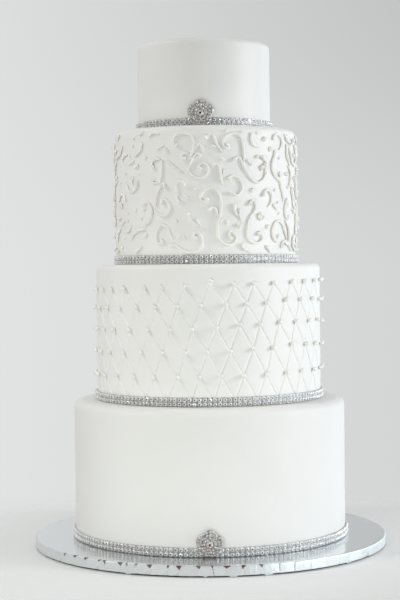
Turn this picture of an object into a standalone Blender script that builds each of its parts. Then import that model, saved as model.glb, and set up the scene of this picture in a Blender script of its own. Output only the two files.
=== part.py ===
"""A four-tier fondant wedding cake on its foil-wrapped drum board.

Each tier is one solid: the bottom and top ones are plain, the second is quilted with pressed lines, and
the third carries piped scrolls. A two-row rhinestone band runs round the foot of every tier, and two
five-petal brooches are pinned over the bands at the front. The front faces -Y, and the origin is the
centre of the board's underside.
"""

import math
from collections import namedtuple

import bmesh
import bpy
from mathutils import Matrix, Vector, geometry

MM = 0.001
GAP = 0.3 * MM
SIDES = 40
ROUND_STEPS = 3

# Drum board, 16 inches across.
BOARD_RADIUS = 203.2 * MM
BOARD_THICKNESS = 11.9 * MM
BOARD_TOP_CHAMFER = 1.4 * MM
BOARD_FOOT_CHAMFER = 1.0 * MM

# Tiers from the bottom up: cakes of 12, 10, 8 and 6 inches under fondant.
# shift is how far the tier was set off the board's axis, towards +X.
Tier = namedtuple("Tier", "name radius height edge shift")
TIER_BOTTOM = Tier("tier_bottom", 156.7 * MM, 157.2 * MM, 9.5 * MM, 0.0)
TIER_QUILTED = Tier("tier_quilted", 129.5 * MM, 154.1 * MM, 6.0 * MM, 0.0)
TIER_SCROLL = Tier("tier_scroll", 104.2 * MM, 151.9 * MM, 6.0 * MM, -1.9 * MM)
TIER_TOP = Tier("tier_top", 76.5 * MM, 99.6 * MM, 6.0 * MM, -2.6 * MM)
TIERS = (TIER_BOTTOM, TIER_QUILTED, TIER_SCROLL, TIER_TOP)

# Rhinestone band: two rows of stones, each row a ridge round the tier.
BAND_HEIGHT = 10.0 * MM
BAND_PROUD = 3.0 * MM
BAND_EDGE_PROUD = 1.2 * MM
BAND_VALLEY_PROUD = 2.0 * MM
BAND_RIDGES = (0.80, 0.20)
BAND_VALLEY = 0.50

# Quilting: 32 columns of diamonds, pressed in as grooves that lean as they go down.
QUILT_COLUMNS = 32
QUILT_PITCH = 360.0 / QUILT_COLUMNS
QUILT_FIRST_COLUMN = 1.0
QUILT_LEAN = 6.95
QUILT_ROW_HEIGHTS = (130.8 * MM, 109.6 * MM, 84.6 * MM, 59.1 * MM, 32.6 * MM)
QUILT_FOOT_HEIGHT = 14.0 * MM
QUILT_TILT = 4.2 * MM
QUILT_TILT_LOSS = 0.45 * MM
GROOVE_DEPTH = 1.0 * MM
GROOVE_HALF_WIDTH = 0.042

# Piped scrolls on the third tier, in one third of the wall. Each stroke runs from a start to an end,
# as (degrees round, millimetres up), and turns by three angles in degrees, counter-clockwise when
# looked at from outside: the curl at its start, the sweep of its whole run, and the curl at its end.
Stroke = namedtuple("Stroke", "start end curl_in sweep curl_out")
SCROLLS = (
    Stroke((1, 72), (15, 28), -370, 0, 400),
    Stroke((-16, 131), (-10, 107), -215, -110, 0),
    Stroke((13, 131), (24, 108), -290, -115, 0),
    Stroke((28, 64), (33, 31), -230, 30, 290),
    Stroke((-23, 19), (-6, 28), -70, 160, 260),
    Stroke((-3, 117), (-2, 104), 150, 100, 330),
    Stroke((48, 126), (56, 68), 0, 60, -75),
    Stroke((49, 23), (60, 26), -160, -110, 0),
    Stroke((-27, 66), (-34, 62), -330, -170, 0),
    Stroke((-25, 85), (-32, 72), 120, 10, 20),
    Stroke((-41, 66), (-41, 42), -100, -110, 0),
    Stroke((-40, 39), (-54, 27), 0, 70, 0),
    Stroke((-57, 90), (-46, 94), 60, 120, 0),
    Stroke((-42, 135), (-49, 120), 0, -50, 0),
    Stroke((-13, 86), (-12, 67), 170, 90, 0),
    Stroke((-11, 56), (0, 38), 10, 15, 0),
    Stroke((14, 92), (15, 79), -100, -130, -60),
    Stroke((37, 74), (40, 62), -130, -90, 0),
    Stroke((30, 144), (35, 127), 30, 80, 0),
    Stroke((46, 136), (52, 126), -120, -110, 0),
    Stroke((-23, 111), (-13, 99), -10, 10, 0),
    Stroke((-34, 106), (-28, 114), -170, -40, 0),
    Stroke((4, 106), (10, 87), -120, -20, 0),
    Stroke((-26, 26), (-21, 27), -120, -180, -30),
)
SCROLL_SECTORS = 3
SCROLL_HALF_WIDTH = 1.4 * MM
SCROLL_TAIL_SHARE = 0.45
SCROLL_HEIGHT = 1.7 * MM
SCROLL_CLEARANCE = 3.6 * MM
CURL_SHARE = 0.22
CURL_SHARE_PER_DEGREE = 1.0 / 900.0
MOST_CURL_SHARE = 0.92
STROKE_SAMPLES = 96
STROKE_STEP_TURN = 70.0
STROKE_STEP_LENGTH = 17.0 * MM
GUIDE_COLUMNS = 24
GUIDE_ROWS = 3
GUIDE_CLEARANCE = 5.0 * MM

# Brooches: five petals round a large stone, flat behind.
PETALS = 5
PETAL_STEPS = 6
BROOCH_RADIUS = 14.9 * MM
BROOCH_NOTCH = 0.30
BROOCH_RIM = 1.5 * MM
BROOCH_RINGS = ((0.84, 3.0 * MM), (0.50, 4.3 * MM), (0.27, 4.6 * MM))
BROOCH_CROWN = 6.6 * MM
BROOCH_TOP_ANGLE = -2.9
BROOCH_BOTTOM_ANGLE = -0.7

OBJECT_NAME = "tiered_wedding_cake"


def clear_scene():
    for obj in list(bpy.data.objects):
        bpy.data.objects.remove(obj)


def new_collection(name):
    made = bpy.data.collections.new(name)
    bpy.context.scene.collection.children.link(made)
    return made


def new_material(name, colour, roughness, metallic=0.0):
    made = bpy.data.materials.new(name)
    made.use_nodes = True
    shader = made.node_tree.nodes["Principled BSDF"]
    shader.inputs["Base Color"].default_value = (*colour, 1.0)
    shader.inputs["Roughness"].default_value = roughness
    shader.inputs["Metallic"].default_value = metallic
    return made


def place(collection, name, mesh, material, shift=0.0, base=0.0):
    """Puts a mesh into the scene as one named piece, standing at height base."""
    mesh.materials.append(material)
    obj = bpy.data.objects.new(name, mesh)
    obj.location = (shift, 0.0, base)
    collection.objects.link(obj)
    return obj


def turned(collection, name, profile, closed, material, shift=0.0, base=0.0):
    """A solid of revolution. The profile is (radius, height) pairs that run down its outer side."""
    mesh = bpy.data.meshes.new(name)
    count = len(profile)
    links = [(i, i + 1) for i in range(count - 1)]
    if closed:
        links.append((count - 1, 0))
    mesh.from_pydata([(r, 0.0, z) for r, z in profile], links, [])
    obj = place(collection, name, mesh, material, shift, base)
    screw = obj.modifiers.new("Turn", "SCREW")
    screw.axis = "Z"
    screw.steps = SIDES
    screw.render_steps = SIDES
    screw.use_merge_vertices = True
    screw.merge_threshold = 0.00005
    screw.use_smooth_shade = False
    return obj


def edge_profile(tier):
    """The rounded top edge of a tier, from its flat top down to where the upright wall starts."""
    points = []
    for step in range(ROUND_STEPS + 1):
        angle = math.radians(90.0 * (1.0 - step / ROUND_STEPS))
        radius = tier.radius - tier.edge * (1.0 - math.cos(angle))
        height = tier.height - tier.edge * (1.0 - math.sin(angle))
        points.append((radius, height))
    return points


def ring(bm, radius, height):
    """A loop of points round the axis, in line with those of every turned piece."""
    points = []
    for side in range(SIDES):
        angle = math.tau * side / SIDES
        points.append(bm.verts.new((radius * math.cos(angle), radius * math.sin(angle), height)))
    return points


def bridge(bm, upper, lower):
    for side in range(SIDES):
        after = (side + 1) % SIDES
        bm.faces.new((upper[side], lower[side], lower[after], upper[after]))


def on_wall(radius, degrees, height):
    """The point of a wall at an angle from the front, counted towards +X."""
    angle = math.radians(degrees)
    return Vector((radius * math.sin(angle), -radius * math.cos(angle), height))


class Wall:
    """The upright wall of a tier, with marks on it that stand out or sink in by their lift."""

    def __init__(self, radius, top, foot):
        self.radius = radius
        self.top = top
        self.foot = foot
        self.middle = 0.5 * (top + foot)
        self.marks = []
        self.links = []

    def add(self, degrees, height, lift):
        self.marks.append((degrees, height, lift))
        return len(self.marks) - 1

    def link(self, *chain):
        self.links.extend(zip(chain, chain[1:]))

    def flatten(self, point):
        """Unrolls a point of the wall onto a flat ring without changing its angles."""
        scale = math.exp((self.middle - point.z) / self.radius)
        return Vector((point.x, point.y)).normalized() * scale

    def build(self, bm, top_ring, foot_ring):
        """Fills the wall between two rings with triangles that keep every link as an edge."""
        points = list(top_ring) + list(foot_ring)
        chain = []
        for start in (0, SIDES):
            chain.extend((start + side, start + (side + 1) % SIDES) for side in range(SIDES))
        first = len(points)
        flat = [self.flatten(point.co) for point in points]
        for degrees, height, lift in self.marks:
            flat.append(self.flatten(on_wall(self.radius, degrees, height)))
            points.append(bm.verts.new(on_wall(self.radius + lift, degrees, height)))
        chain.extend((first + one, first + other) for one, other in self.links)
        found, _, faces, sources, _, _ = geometry.delaunay_2d_cdt(flat, chain, [], 0, 1e-7)
        kept = []
        for spot, source in zip(found, sources):
            kept.append(points[source[0]] if source else self.crossing(bm, spot))
        hole = set(top_ring)
        for face in faces:
            corners = [kept[i] for i in face]
            if not hole.issuperset(corners):
                bm.faces.new(corners)

    def crossing(self, bm, spot):
        """A plain wall point for a spot where two links cross."""
        height = self.middle - self.radius * math.log(spot.length)
        side = spot.normalized() * self.radius
        return bm.verts.new((side.x, side.y, height))


def relief_tier(collection, tier, base, material, top, foot, decorate):
    """A tier whose wall between two heights carries the marks that decorate adds."""
    bm = bmesh.new()
    loops = [ring(bm, radius, height) for radius, height in edge_profile(tier)]
    wall = Wall(tier.radius, top, foot)
    wall_top = ring(bm, tier.radius, top)
    wall_foot = ring(bm, tier.radius, foot)
    bottom = ring(bm, tier.radius, 0.0)
    for upper, lower in zip(loops, loops[1:] + [wall_top]):
        bridge(bm, upper, lower)
    decorate(wall)
    wall.build(bm, wall_top, wall_foot)
    bridge(bm, wall_foot, bottom)
    bm.faces.new(loops[0])
    bm.faces.new(bottom)
    bmesh.ops.recalc_face_normals(bm, faces=bm.faces)
    mesh = bpy.data.meshes.new(tier.name)
    bm.to_mesh(mesh)
    bm.free()
    return place(collection, tier.name, mesh, material, tier.shift, base)


def quilt_height(row, degrees):
    """The height of a row of crossings, which may be a part row, at an angle round the tier."""
    last = len(QUILT_ROW_HEIGHTS) - 1
    upper = min(int(row), last)
    if upper < last:
        share = row - upper
        level = QUILT_ROW_HEIGHTS[upper] * (1.0 - share) + QUILT_ROW_HEIGHTS[upper + 1] * share
    else:
        last_gap = QUILT_ROW_HEIGHTS[last - 1] - QUILT_ROW_HEIGHTS[last]
        level = QUILT_ROW_HEIGHTS[last] - (row - last) * last_gap
    return level + (QUILT_TILT - QUILT_TILT_LOSS * row) * math.sin(math.radians(degrees))


def quilt(wall):
    """Presses the diamond lattice. Line one leans to +X on its way down, and line two back to -X."""
    rows = len(QUILT_ROW_HEIGHTS)
    row_gap = QUILT_ROW_HEIGHTS[-2] - QUILT_ROW_HEIGHTS[-1]
    foot_row = rows - 1 + (QUILT_ROW_HEIGHTS[-1] - QUILT_FOOT_HEIGHT) / row_gap
    known = {}

    def mark(one, two, lift=0.0):
        """A point of the lattice, by where it lies between the lines of each family."""
        row = two - one
        key = (round(one % QUILT_COLUMNS, 3), round(row, 3))
        if key not in known:
            degrees = QUILT_FIRST_COLUMN + QUILT_PITCH * one + QUILT_LEAN * row
            known[key] = wall.add(degrees, quilt_height(row, degrees), lift)
        return known[key]

    def corner(column, row, across, down):
        """A corner of the flat diamond between the grooves, drawn in from the lattice."""
        return mark(column + across, column + row + down)

    for column in range(QUILT_COLUMNS):
        for row in range(rows):
            mark(column, column + row, 0.0 if row == 0 else -GROOVE_DEPTH)
    inset = GROOVE_HALF_WIDTH
    top = (1 - inset, inset)
    foot = (inset, 1 - inset)
    left_side = (inset, inset)
    right_side = (1 - inset, 1 - inset)
    for column in range(QUILT_COLUMNS):
        for row in range(rows):
            last = row == rows - 1
            here = mark(column, column + row)
            down_one = mark(column, column + foot_row) if last else mark(column, column + row + 1)
            line_two = column + row
            down_two = mark(line_two - foot_row, line_two) if last else mark(line_two - row - 1, line_two)
            wall.link(here, down_one)
            wall.link(here, down_two)
        for row in range(rows + 1):
            upper = column + row
            if row == 0:
                wall.link(mark(column, upper), corner(column, row, *foot), mark(column + 1, upper + 1))
            elif row < rows - 1:
                around = [corner(column, row, *spot) for spot in (top, left_side, foot, right_side)]
                wall.link(*around, around[0])
            elif row == rows - 1:
                one_foot = mark(column, column + foot_row)
                two_foot = mark(upper + 1 - foot_row, upper + 1)
                around = [corner(column, row, *spot) for spot in (left_side, top, right_side)]
                wall.link(one_foot, *around, two_foot)
            else:
                two_foot = mark(upper - foot_row, upper)
                one_foot = mark(column + 1, column + 1 + foot_row)
                wall.link(two_foot, corner(column, row, *top), one_foot)


def stroke_path(stroke, radius):
    """The points of a stroke as (metres round, metres up), with the heading at each, in radians."""
    share_in = CURL_SHARE + abs(stroke.curl_in) * CURL_SHARE_PER_DEGREE if stroke.curl_in else 0.0
    share_out = CURL_SHARE + abs(stroke.curl_out) * CURL_SHARE_PER_DEGREE if stroke.curl_out else 0.0
    crowd = max(1.0, (share_in + share_out) / MOST_CURL_SHARE)
    share_in /= crowd
    share_out /= crowd
    x = 0.0
    y = 0.0
    path = [(0.0, 0.0, 0.0)]
    for sample in range(STROKE_SAMPLES):
        s = (sample + 0.5) / STROKE_SAMPLES
        heading = stroke.sweep * s
        if share_in:
            heading += stroke.curl_in * (1.0 - (1.0 - min(s / share_in, 1.0)) ** 2)
        if share_out:
            heading += stroke.curl_out * max(0.0, (s - 1.0 + share_out) / share_out) ** 2
        x += math.cos(math.radians(heading))
        y += math.sin(math.radians(heading))
        path.append((x, y, math.radians(heading)))
    origin, end = (Vector((math.radians(d) * radius, up * MM)) for d, up in (stroke.start, stroke.end))
    run = end - origin
    scale = run.length / math.hypot(x, y)
    turn = math.atan2(run.y, run.x) - math.atan2(y, x)
    spin = Matrix.Rotation(turn, 2)
    return [(origin + scale * (spin @ Vector((px, py))), heading + turn) for px, py, heading in path]


def thinned(path):
    """Keeps a point wherever the stroke has turned or run far enough since the last one."""
    kept = [path[0]]
    for point, heading in path[1:-1]:
        last_point, last_heading = kept[-1]
        turned_by = math.degrees(abs(heading - last_heading)) / STROKE_STEP_TURN
        if turned_by + (point - last_point).length / STROKE_STEP_LENGTH >= 1.0:
            kept.append((point, heading))
    kept.append(path[-1])
    return kept


def pipe_stroke(wall, path):
    """A ridge along the stroke: full and round at its start, thinning to its tail."""
    radius = wall.radius
    ridge = []
    left = []
    right = []
    for index, (point, heading) in enumerate(path):
        share = 1.0 - SCROLL_TAIL_SHARE * index / (len(path) - 1)
        aside = Vector((-math.sin(heading), math.cos(heading))) * SCROLL_HALF_WIDTH * share
        ridge.append(wall.add(math.degrees(point.x / radius), point.y, SCROLL_HEIGHT * share))
        for side, spot in ((left, point + aside), (right, point - aside)):
            side.append(wall.add(math.degrees(spot.x / radius), spot.y, 0.0))
    tips = []
    for (point, heading), way in ((path[0], -1.0), (path[-1], 1.0)):
        spot = point + Vector((math.cos(heading), math.sin(heading))) * SCROLL_HALF_WIDTH * way
        tips.append(wall.add(math.degrees(spot.x / radius), spot.y, 0.0))
    wall.link(tips[0], *ridge, tips[1])
    wall.link(tips[0], *left, tips[1], *reversed(right), tips[0])


def keep_round(wall, taken):
    """Marks the bare stretches of the wall, so that they stay round between the strokes."""
    for column in range(GUIDE_COLUMNS):
        for row in range(GUIDE_ROWS):
            degrees = 360.0 * (column + 0.5 * (row % 2)) / GUIDE_COLUMNS
            height = wall.foot + (wall.top - wall.foot) * (row + 1) / (GUIDE_ROWS + 1)
            spot = on_wall(wall.radius, degrees, height)
            if all((spot - other).length > GUIDE_CLEARANCE for other in taken):
                wall.add(degrees, height, 0.0)


def pipe_scrolls(wall):
    """Pipes the same strokes in each third of the wall: as they are, mirrored, and upside down."""
    taken = []
    for sector in range(SCROLL_SECTORS):
        across = -1.0 if sector else 1.0
        upright = sector < SCROLL_SECTORS - 1
        flip = -1.0 if sector == 1 else 1.0
        for stroke in SCROLLS:
            ends = []
            for degrees, up in (stroke.start, stroke.end):
                height = up if upright else (wall.top + wall.foot) / MM - up
                ends.append((sector * 360.0 / SCROLL_SECTORS + across * degrees, height))
            turns = (flip * stroke.curl_in, flip * stroke.sweep, flip * stroke.curl_out)
            path = stroke_path(Stroke(*ends, *turns), wall.radius)
            around = [on_wall(wall.radius, math.degrees(p.x / wall.radius), p.y) for p, _ in path]
            if all((one - other).length > SCROLL_CLEARANCE for one in around for other in taken):
                pipe_stroke(wall, thinned(path))
                taken.extend(around)
    keep_round(wall, taken)


def band(collection, name, tier, base, material):
    """The band as a flat-backed ring, its two ridges at shares of its height."""
    inner = tier.radius + GAP
    profile = (
        (inner + BAND_EDGE_PROUD, BAND_HEIGHT),
        (inner + BAND_PROUD, BAND_HEIGHT * BAND_RIDGES[0]),
        (inner + BAND_VALLEY_PROUD, BAND_HEIGHT * BAND_VALLEY),
        (inner + BAND_PROUD, BAND_HEIGHT * BAND_RIDGES[1]),
        (inner + BAND_EDGE_PROUD, 0.0),
        (inner, 0.0),
        (inner, BAND_HEIGHT),
    )
    return turned(collection, name, profile, True, material, tier.shift, base)


def petal_outline(share, angle):
    """The brooch's outline at an angle from a petal's tip: petalled at its rim, round near its middle."""
    notch = BROOCH_NOTCH * share * abs(math.sin(0.5 * PETALS * angle))
    return BROOCH_RADIUS * share * (1.0 - notch)


def brooch(collection, name, tier, angle, floor, material):
    """A petalled dome with a flat back, facing out over the band, its two lower tips on the floor."""
    count = PETALS * PETAL_STEPS
    bm = bmesh.new()
    loops = []
    for share, rise in ((1.0, 0.0), (1.0, BROOCH_RIM)) + BROOCH_RINGS:
        loop = []
        for step in range(count):
            turn = math.tau * step / count
            reach = petal_outline(share, turn)
            loop.append(bm.verts.new((-reach * math.sin(turn), reach * math.cos(turn), rise)))
        loops.append(loop)
    for lower, upper in zip(loops, loops[1:]):
        for step in range(count):
            after = (step + 1) % count
            bm.faces.new((lower[step], lower[after], upper[after], upper[step]))
    crown = bm.verts.new((0.0, 0.0, BROOCH_CROWN))
    for step in range(count):
        bm.faces.new((loops[-1][step], loops[-1][(step + 1) % count], crown))
    bm.faces.new(loops[0])
    bmesh.ops.recalc_face_normals(bm, faces=bm.faces)
    mesh = bpy.data.meshes.new(name)
    bm.to_mesh(mesh)
    bm.free()
    lowest = BROOCH_RADIUS * math.cos(math.pi / PETALS)
    obj = place(collection, name, mesh, material)
    obj.location = on_wall(tier.radius + BAND_PROUD + 2.0 * GAP, angle, floor + GAP + lowest)
    obj.location.x += tier.shift
    obj.rotation_euler = (math.radians(90.0), 0.0, math.radians(angle))
    return obj


def main():
    clear_scene()
    cake = new_collection(OBJECT_NAME)
    fondant = new_material("white_fondant", (0.86, 0.86, 0.84), 0.45)
    foil = new_material("silver_foil", (0.72, 0.74, 0.76), 0.28, 1.0)
    stones = new_material("rhinestone_mesh", (0.62, 0.64, 0.66), 0.18, 1.0)
    jewel = new_material("brooch_silver", (0.58, 0.57, 0.58), 0.15, 1.0)

    board = (
        (0.0, BOARD_THICKNESS),
        (BOARD_RADIUS - BOARD_TOP_CHAMFER, BOARD_THICKNESS),
        (BOARD_RADIUS, BOARD_THICKNESS - BOARD_TOP_CHAMFER),
        (BOARD_RADIUS, BOARD_FOOT_CHAMFER),
        (BOARD_RADIUS - BOARD_FOOT_CHAMFER, 0.0),
        (0.0, 0.0),
    )
    turned(cake, "board", board, False, foil)

    base = BOARD_THICKNESS
    bases = {}
    for tier in TIERS:
        base += GAP
        bases[tier.name] = base
        if tier in (TIER_BOTTOM, TIER_TOP):
            profile = [(0.0, tier.height)] + edge_profile(tier) + [(tier.radius, 0.0), (0.0, 0.0)]
            turned(cake, tier.name, profile, False, fondant, tier.shift, base)
        band(cake, tier.name.replace("tier", "band"), tier, base, stones)
        base += tier.height

    quilt_top = QUILT_ROW_HEIGHTS[0] + 2.0 * QUILT_TILT
    quilt_foot = BAND_HEIGHT + GAP
    relief_tier(cake, TIER_QUILTED, bases["tier_quilted"], fondant, quilt_top, quilt_foot, quilt)
    scroll_top = TIER_SCROLL.height - TIER_SCROLL.edge - GAP
    relief_tier(cake, TIER_SCROLL, bases["tier_scroll"], fondant, scroll_top, quilt_foot, pipe_scrolls)

    under_top = bases["tier_top"] - GAP
    brooch(cake, "brooch_bottom", TIER_BOTTOM, BROOCH_BOTTOM_ANGLE, BOARD_THICKNESS, jewel)
    brooch(cake, "brooch_top", TIER_TOP, BROOCH_TOP_ANGLE, under_top, jewel)


main()
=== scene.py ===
"""The looks of a four-tier fondant wedding cake on its foil board, built round the packed model.

It is laid out as an add-on. Each operator makes one piece or one group of like pieces, in the place where
the packed model has it, from the sizes and colours in the sidebar's Cake tab. Metres, +Z up; the front,
with the brooches, faces -Y. Angles round the cake are counted from the front towards +X.
"""

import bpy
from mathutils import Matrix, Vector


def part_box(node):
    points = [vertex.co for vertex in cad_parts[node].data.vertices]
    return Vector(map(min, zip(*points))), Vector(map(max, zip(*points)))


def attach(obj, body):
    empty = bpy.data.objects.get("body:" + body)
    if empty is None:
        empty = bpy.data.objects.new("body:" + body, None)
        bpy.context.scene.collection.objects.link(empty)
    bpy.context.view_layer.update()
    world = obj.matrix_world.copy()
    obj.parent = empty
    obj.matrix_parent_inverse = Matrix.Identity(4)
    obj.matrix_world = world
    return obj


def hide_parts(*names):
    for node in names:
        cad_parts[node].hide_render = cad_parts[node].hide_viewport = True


bl_info = {
    "name": "Tiered Wedding Cake",
    "version": (1, 0, 0),
    "blender": (4, 5, 0),
    "location": "3D View > Sidebar > Cake",
    "description": "Makes a fondant wedding cake with quilting, piped scrolls, rhinestone bands and brooches",
    "category": "Add Mesh",
}

import math
import random
from collections import namedtuple

import bmesh
import bpy
from bpy.props import FloatProperty, FloatVectorProperty, IntProperty, PointerProperty
from mathutils import Matrix, Vector, noise
from mathutils.kdtree import KDTree

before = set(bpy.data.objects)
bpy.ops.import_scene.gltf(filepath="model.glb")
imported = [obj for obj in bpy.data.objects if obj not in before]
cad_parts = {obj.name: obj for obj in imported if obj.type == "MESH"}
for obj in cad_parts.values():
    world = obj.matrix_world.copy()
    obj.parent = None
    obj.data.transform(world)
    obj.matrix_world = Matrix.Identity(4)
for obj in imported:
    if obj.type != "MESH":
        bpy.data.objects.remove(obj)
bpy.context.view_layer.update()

MM = 0.001
UP = Vector((0.0, 0.0, 1.0))

# ---------------------------------------------------------------- places, from the packed model

BAND_CREST = 3.3 * MM  # from a tier's wall to the crest of its band
Tier = namedtuple("Tier", "x base top radius edge")


def tier_place(name, edge):
    """Where a tier stands, from its own box and that of the band round its foot."""
    low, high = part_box("tier_" + name)
    band_low, band_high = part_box("band_" + name)
    radius = 0.5 * (band_high.x - band_low.x) - BAND_CREST
    return Tier(0.5 * (band_low.x + band_high.x), low.z, high.z, radius, edge)


def on_wall(tier, degrees, height, proud=0.0):
    """The point at an angle round a tier and a height above its foot, on its wall or proud of it."""
    angle = math.radians(degrees)
    reach = wall_radius(tier, height) + proud
    return Vector((tier.x + reach * math.sin(angle), -reach * math.cos(angle), tier.base + height))


def wall_radius(tier, height):
    """The tier's radius at a height above its foot, with its rounded top edge."""
    over = height - (tier.top - tier.base - tier.edge)
    if over <= 0.0:
        return tier.radius
    over = min(over, tier.edge)
    return tier.radius - tier.edge + math.sqrt(tier.edge**2 - over**2)


def outward(degrees):
    angle = math.radians(degrees)
    return Vector((math.sin(angle), -math.cos(angle), 0.0))


# ---------------------------------------------------------------- node trees


class Link:
    """A socket that can be used in sums: each operator adds its Math node to the tree."""

    def __init__(self, nodes, socket):
        self.nodes = nodes
        self.socket = socket

    def sum(self, operation, *values):
        return self.nodes.add("ShaderNodeMath", {"operation": operation}, values)

    def __add__(self, other):
        return self.sum("ADD", self, other)

    def __sub__(self, other):
        return self.sum("SUBTRACT", self, other)

    def __rsub__(self, other):
        return self.sum("SUBTRACT", other, self)

    def __mul__(self, other):
        return self.sum("MULTIPLY", self, other)

    def __truediv__(self, other):
        return self.sum("DIVIDE", self, other)

    def __rtruediv__(self, other):
        return self.sum("DIVIDE", other, self)

    def __pow__(self, other):
        return self.sum("POWER", self, other)

    def __neg__(self):
        return self.sum("MULTIPLY", self, -1.0)

    __radd__ = __add__
    __rmul__ = __mul__

    def output(self, name):
        """Another output of the node that this one comes from."""
        return Link(self.nodes, self.socket.node.outputs[name])


class Nodes:
    """Adds nodes to a tree, shader or geometry."""

    def __init__(self, tree):
        self.tree = tree

    def add(self, kind, settings=None, inputs=(), output=0):
        """A node of a type, with its settings, then the values or links of its sockets."""
        node = self.tree.nodes.new(kind)
        for name, value in (settings or {}).items():
            if name == "stops":
                set_stops(node.color_ramp, value)
            else:
                setattr(node, name, value)
        for key, value in inputs.items() if isinstance(inputs, dict) else enumerate(inputs):
            self.feed(node.inputs[key], value)
        return Link(self, node.outputs[output])

    def feed(self, socket, value):
        if isinstance(value, Link):
            self.tree.links.new(value.socket, socket)
        elif value is not None:
            socket.default_value = value

    def span(self, value, low, high, to_low=0.0, to_high=1.0, smooth=True):
        """A value carried from one span to another, held at its ends."""
        kind = "SMOOTHSTEP" if smooth else "LINEAR"
        sockets = {"Value": value, "From Min": low, "From Max": high, "To Min": to_low, "To Max": to_high}
        return self.add("ShaderNodeMapRange", {"interpolation_type": kind}, sockets)

    def blend(self, factor, one, other):
        """A colour between two, each a colour or a link."""
        colours = [value if isinstance(value, Link) else (*value, 1.0) for value in (one, other)]
        sockets = dict(zip((0, 6, 7), (factor, *colours)))
        return self.add("ShaderNodeMix", {"data_type": "RGBA"}, sockets, output=2)


def set_stops(ramp, stops):
    """Lays a ramp's stops, as (position, colour) pairs."""
    while len(ramp.elements) < len(stops):
        ramp.elements.new(1.0)
    for element, (position, colour) in zip(ramp.elements, stops):
        element.position = position
        element.color = (*colour, 1.0)


class Surface(Nodes):
    """A new material, whose Principled shader takes values and links by name."""

    def __init__(self, name):
        self.material = bpy.data.materials.new(name)
        self.material.use_nodes = True
        super().__init__(self.material.node_tree)
        self.shader = self.tree.nodes["Principled BSDF"]
        self.place = self.add("ShaderNodeTexCoord", output="Object")

    def set(self, **sockets):
        for name, value in sockets.items():
            self.feed(self.shader.inputs[name.replace("_", " ")], value)
        return self.material

    def noise(self, size, detail=2.0, roughness=0.5, vector=None, stretch=None):
        """Noise whose blobs are about size metres across, or stretched by a vector."""
        vector = vector or self.place
        if stretch:
            vector = self.add("ShaderNodeVectorMath", {"operation": "MULTIPLY"}, (vector, stretch))
        sockets = {"Vector": vector, "Scale": 1.0 / size, "Detail": detail, "Roughness": roughness}
        return self.add("ShaderNodeTexNoise", inputs=sockets)

    def bump(self, height, distance, normal=None):
        return self.add("ShaderNodeBump", inputs={"Height": height, "Distance": distance, "Normal": normal})


# ---------------------------------------------------------------- sizes and colours


def length(name, description, default):
    return FloatProperty(
        name=name,
        description=description,
        default=default,
        min=0.0,
        unit="LENGTH",
        subtype="DISTANCE",
        precision=5,
    )


def share(name, description, default):
    return FloatProperty(
        name=name, description=description, default=default, min=0.0, max=1.0, subtype="FACTOR"
    )


def colour(name, description, default):
    return FloatVectorProperty(
        name=name, description=description, default=default, size=3, min=0.0, max=1.0, subtype="COLOR"
    )


def count(name, description, default):
    return IntProperty(name=name, description=description, default=default, min=0)


def angle(name, description, default):
    return FloatProperty(
        name=name, description=description, default=math.radians(default), unit="ROTATION", subtype="ANGLE"
    )


def strength(name, description, default):
    return FloatProperty(name=name, description=description, default=default, min=0.0)


class FondantSettings(bpy.types.PropertyGroup):
    """The rolled fondant that covers the tiers."""

    bottom_edge: length("Bottom Edge", "Radius of the bottom tier's rounded top edge", 9.5 * MM)
    edge: length("Edge", "Radius of the other tiers' rounded top edges", 6.0 * MM)
    sway: length("Sway", "How far the hand-smoothed wall strays from true", 0.25 * MM)
    colour: colour("Colour", "Colour of the fondant", (0.87, 0.87, 0.855))
    shade: colour("Shade", "Colour of the fondant's faintly duller patches", (0.85, 0.85, 0.832))
    roughness: share("Roughness", "Roughness of the fondant", 0.5)


class QuiltSettings(bpy.types.PropertyGroup):
    """The diamond lines pressed into the second tier."""

    groove_width: length("Groove Width", "Half width of a pressed line", 0.8 * MM)
    groove_depth: length("Groove Depth", "How deep a line is pressed", 0.85 * MM)
    pillow: length("Pillow", "How far the fondant falls away beside a line", 0.18 * MM)
    tilt: length("Tilt", "How far the upper crossings rise from the left side to the front", 4.2 * MM)
    tilt_loss: length("Tilt Loss", "How much less each lower row rises", 0.45 * MM)
    stray: length("Stray", "How far a crossing strays up or down", 0.35 * MM)
    seed: count("Seed", "Seed of the strays", 4)


class PearlSettings(bpy.types.PropertyGroup):
    """The sugar pearls at the crossings."""

    size: length("Size", "Diameter of a pearl", 5.2 * MM)
    variation: share("Variation", "How much the pearls differ in size", 0.06)
    proud: share("Proud", "Share of a pearl's radius by which its middle stands off the wall", 0.92)
    colour: colour("Colour", "Colour of the pearls", (0.95, 0.945, 0.93))
    # Painted shade: the colour where a pearl meets the wall stands in for its contact shadow.
    contact_shade_colour: colour("Foot Colour", "Colour where a pearl meets the wall", (0.76, 0.7, 0.62))
    seed: count("Seed", "Seed of the pearls' sizes and turns", 11)


class PipingSettings(bpy.types.PropertyGroup):
    """The scrolls and dots piped on the third tier."""

    bead: length("Bead", "Usual radius of the piped line", 1.55 * MM)
    proud: share("Proud", "Share of the bead's radius by which its middle stands off the wall", 0.9)
    bulb: share("Bulb", "How much fuller a stroke is where the nozzle started", 0.7)
    tail: share("Tail", "Share of its width that a tapering tail keeps", 0.45)
    unevenness: share("Unevenness", "How much the bead swells and thins along a stroke", 0.1)
    dots: strength("Dots", "How much larger the dots are than their usual width", 1.8)
    colour: colour("Colour", "Colour of the royal icing", (0.95, 0.945, 0.925))
    # Painted shade: the colour where the icing meets the wall stands in for its contact shadow.
    contact_shade_colour: colour("Foot Colour", "Colour where the icing meets the wall", (0.79, 0.74, 0.66))
    seed: count("Seed", "Seed of the unevenness and of the dots", 7)


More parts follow.
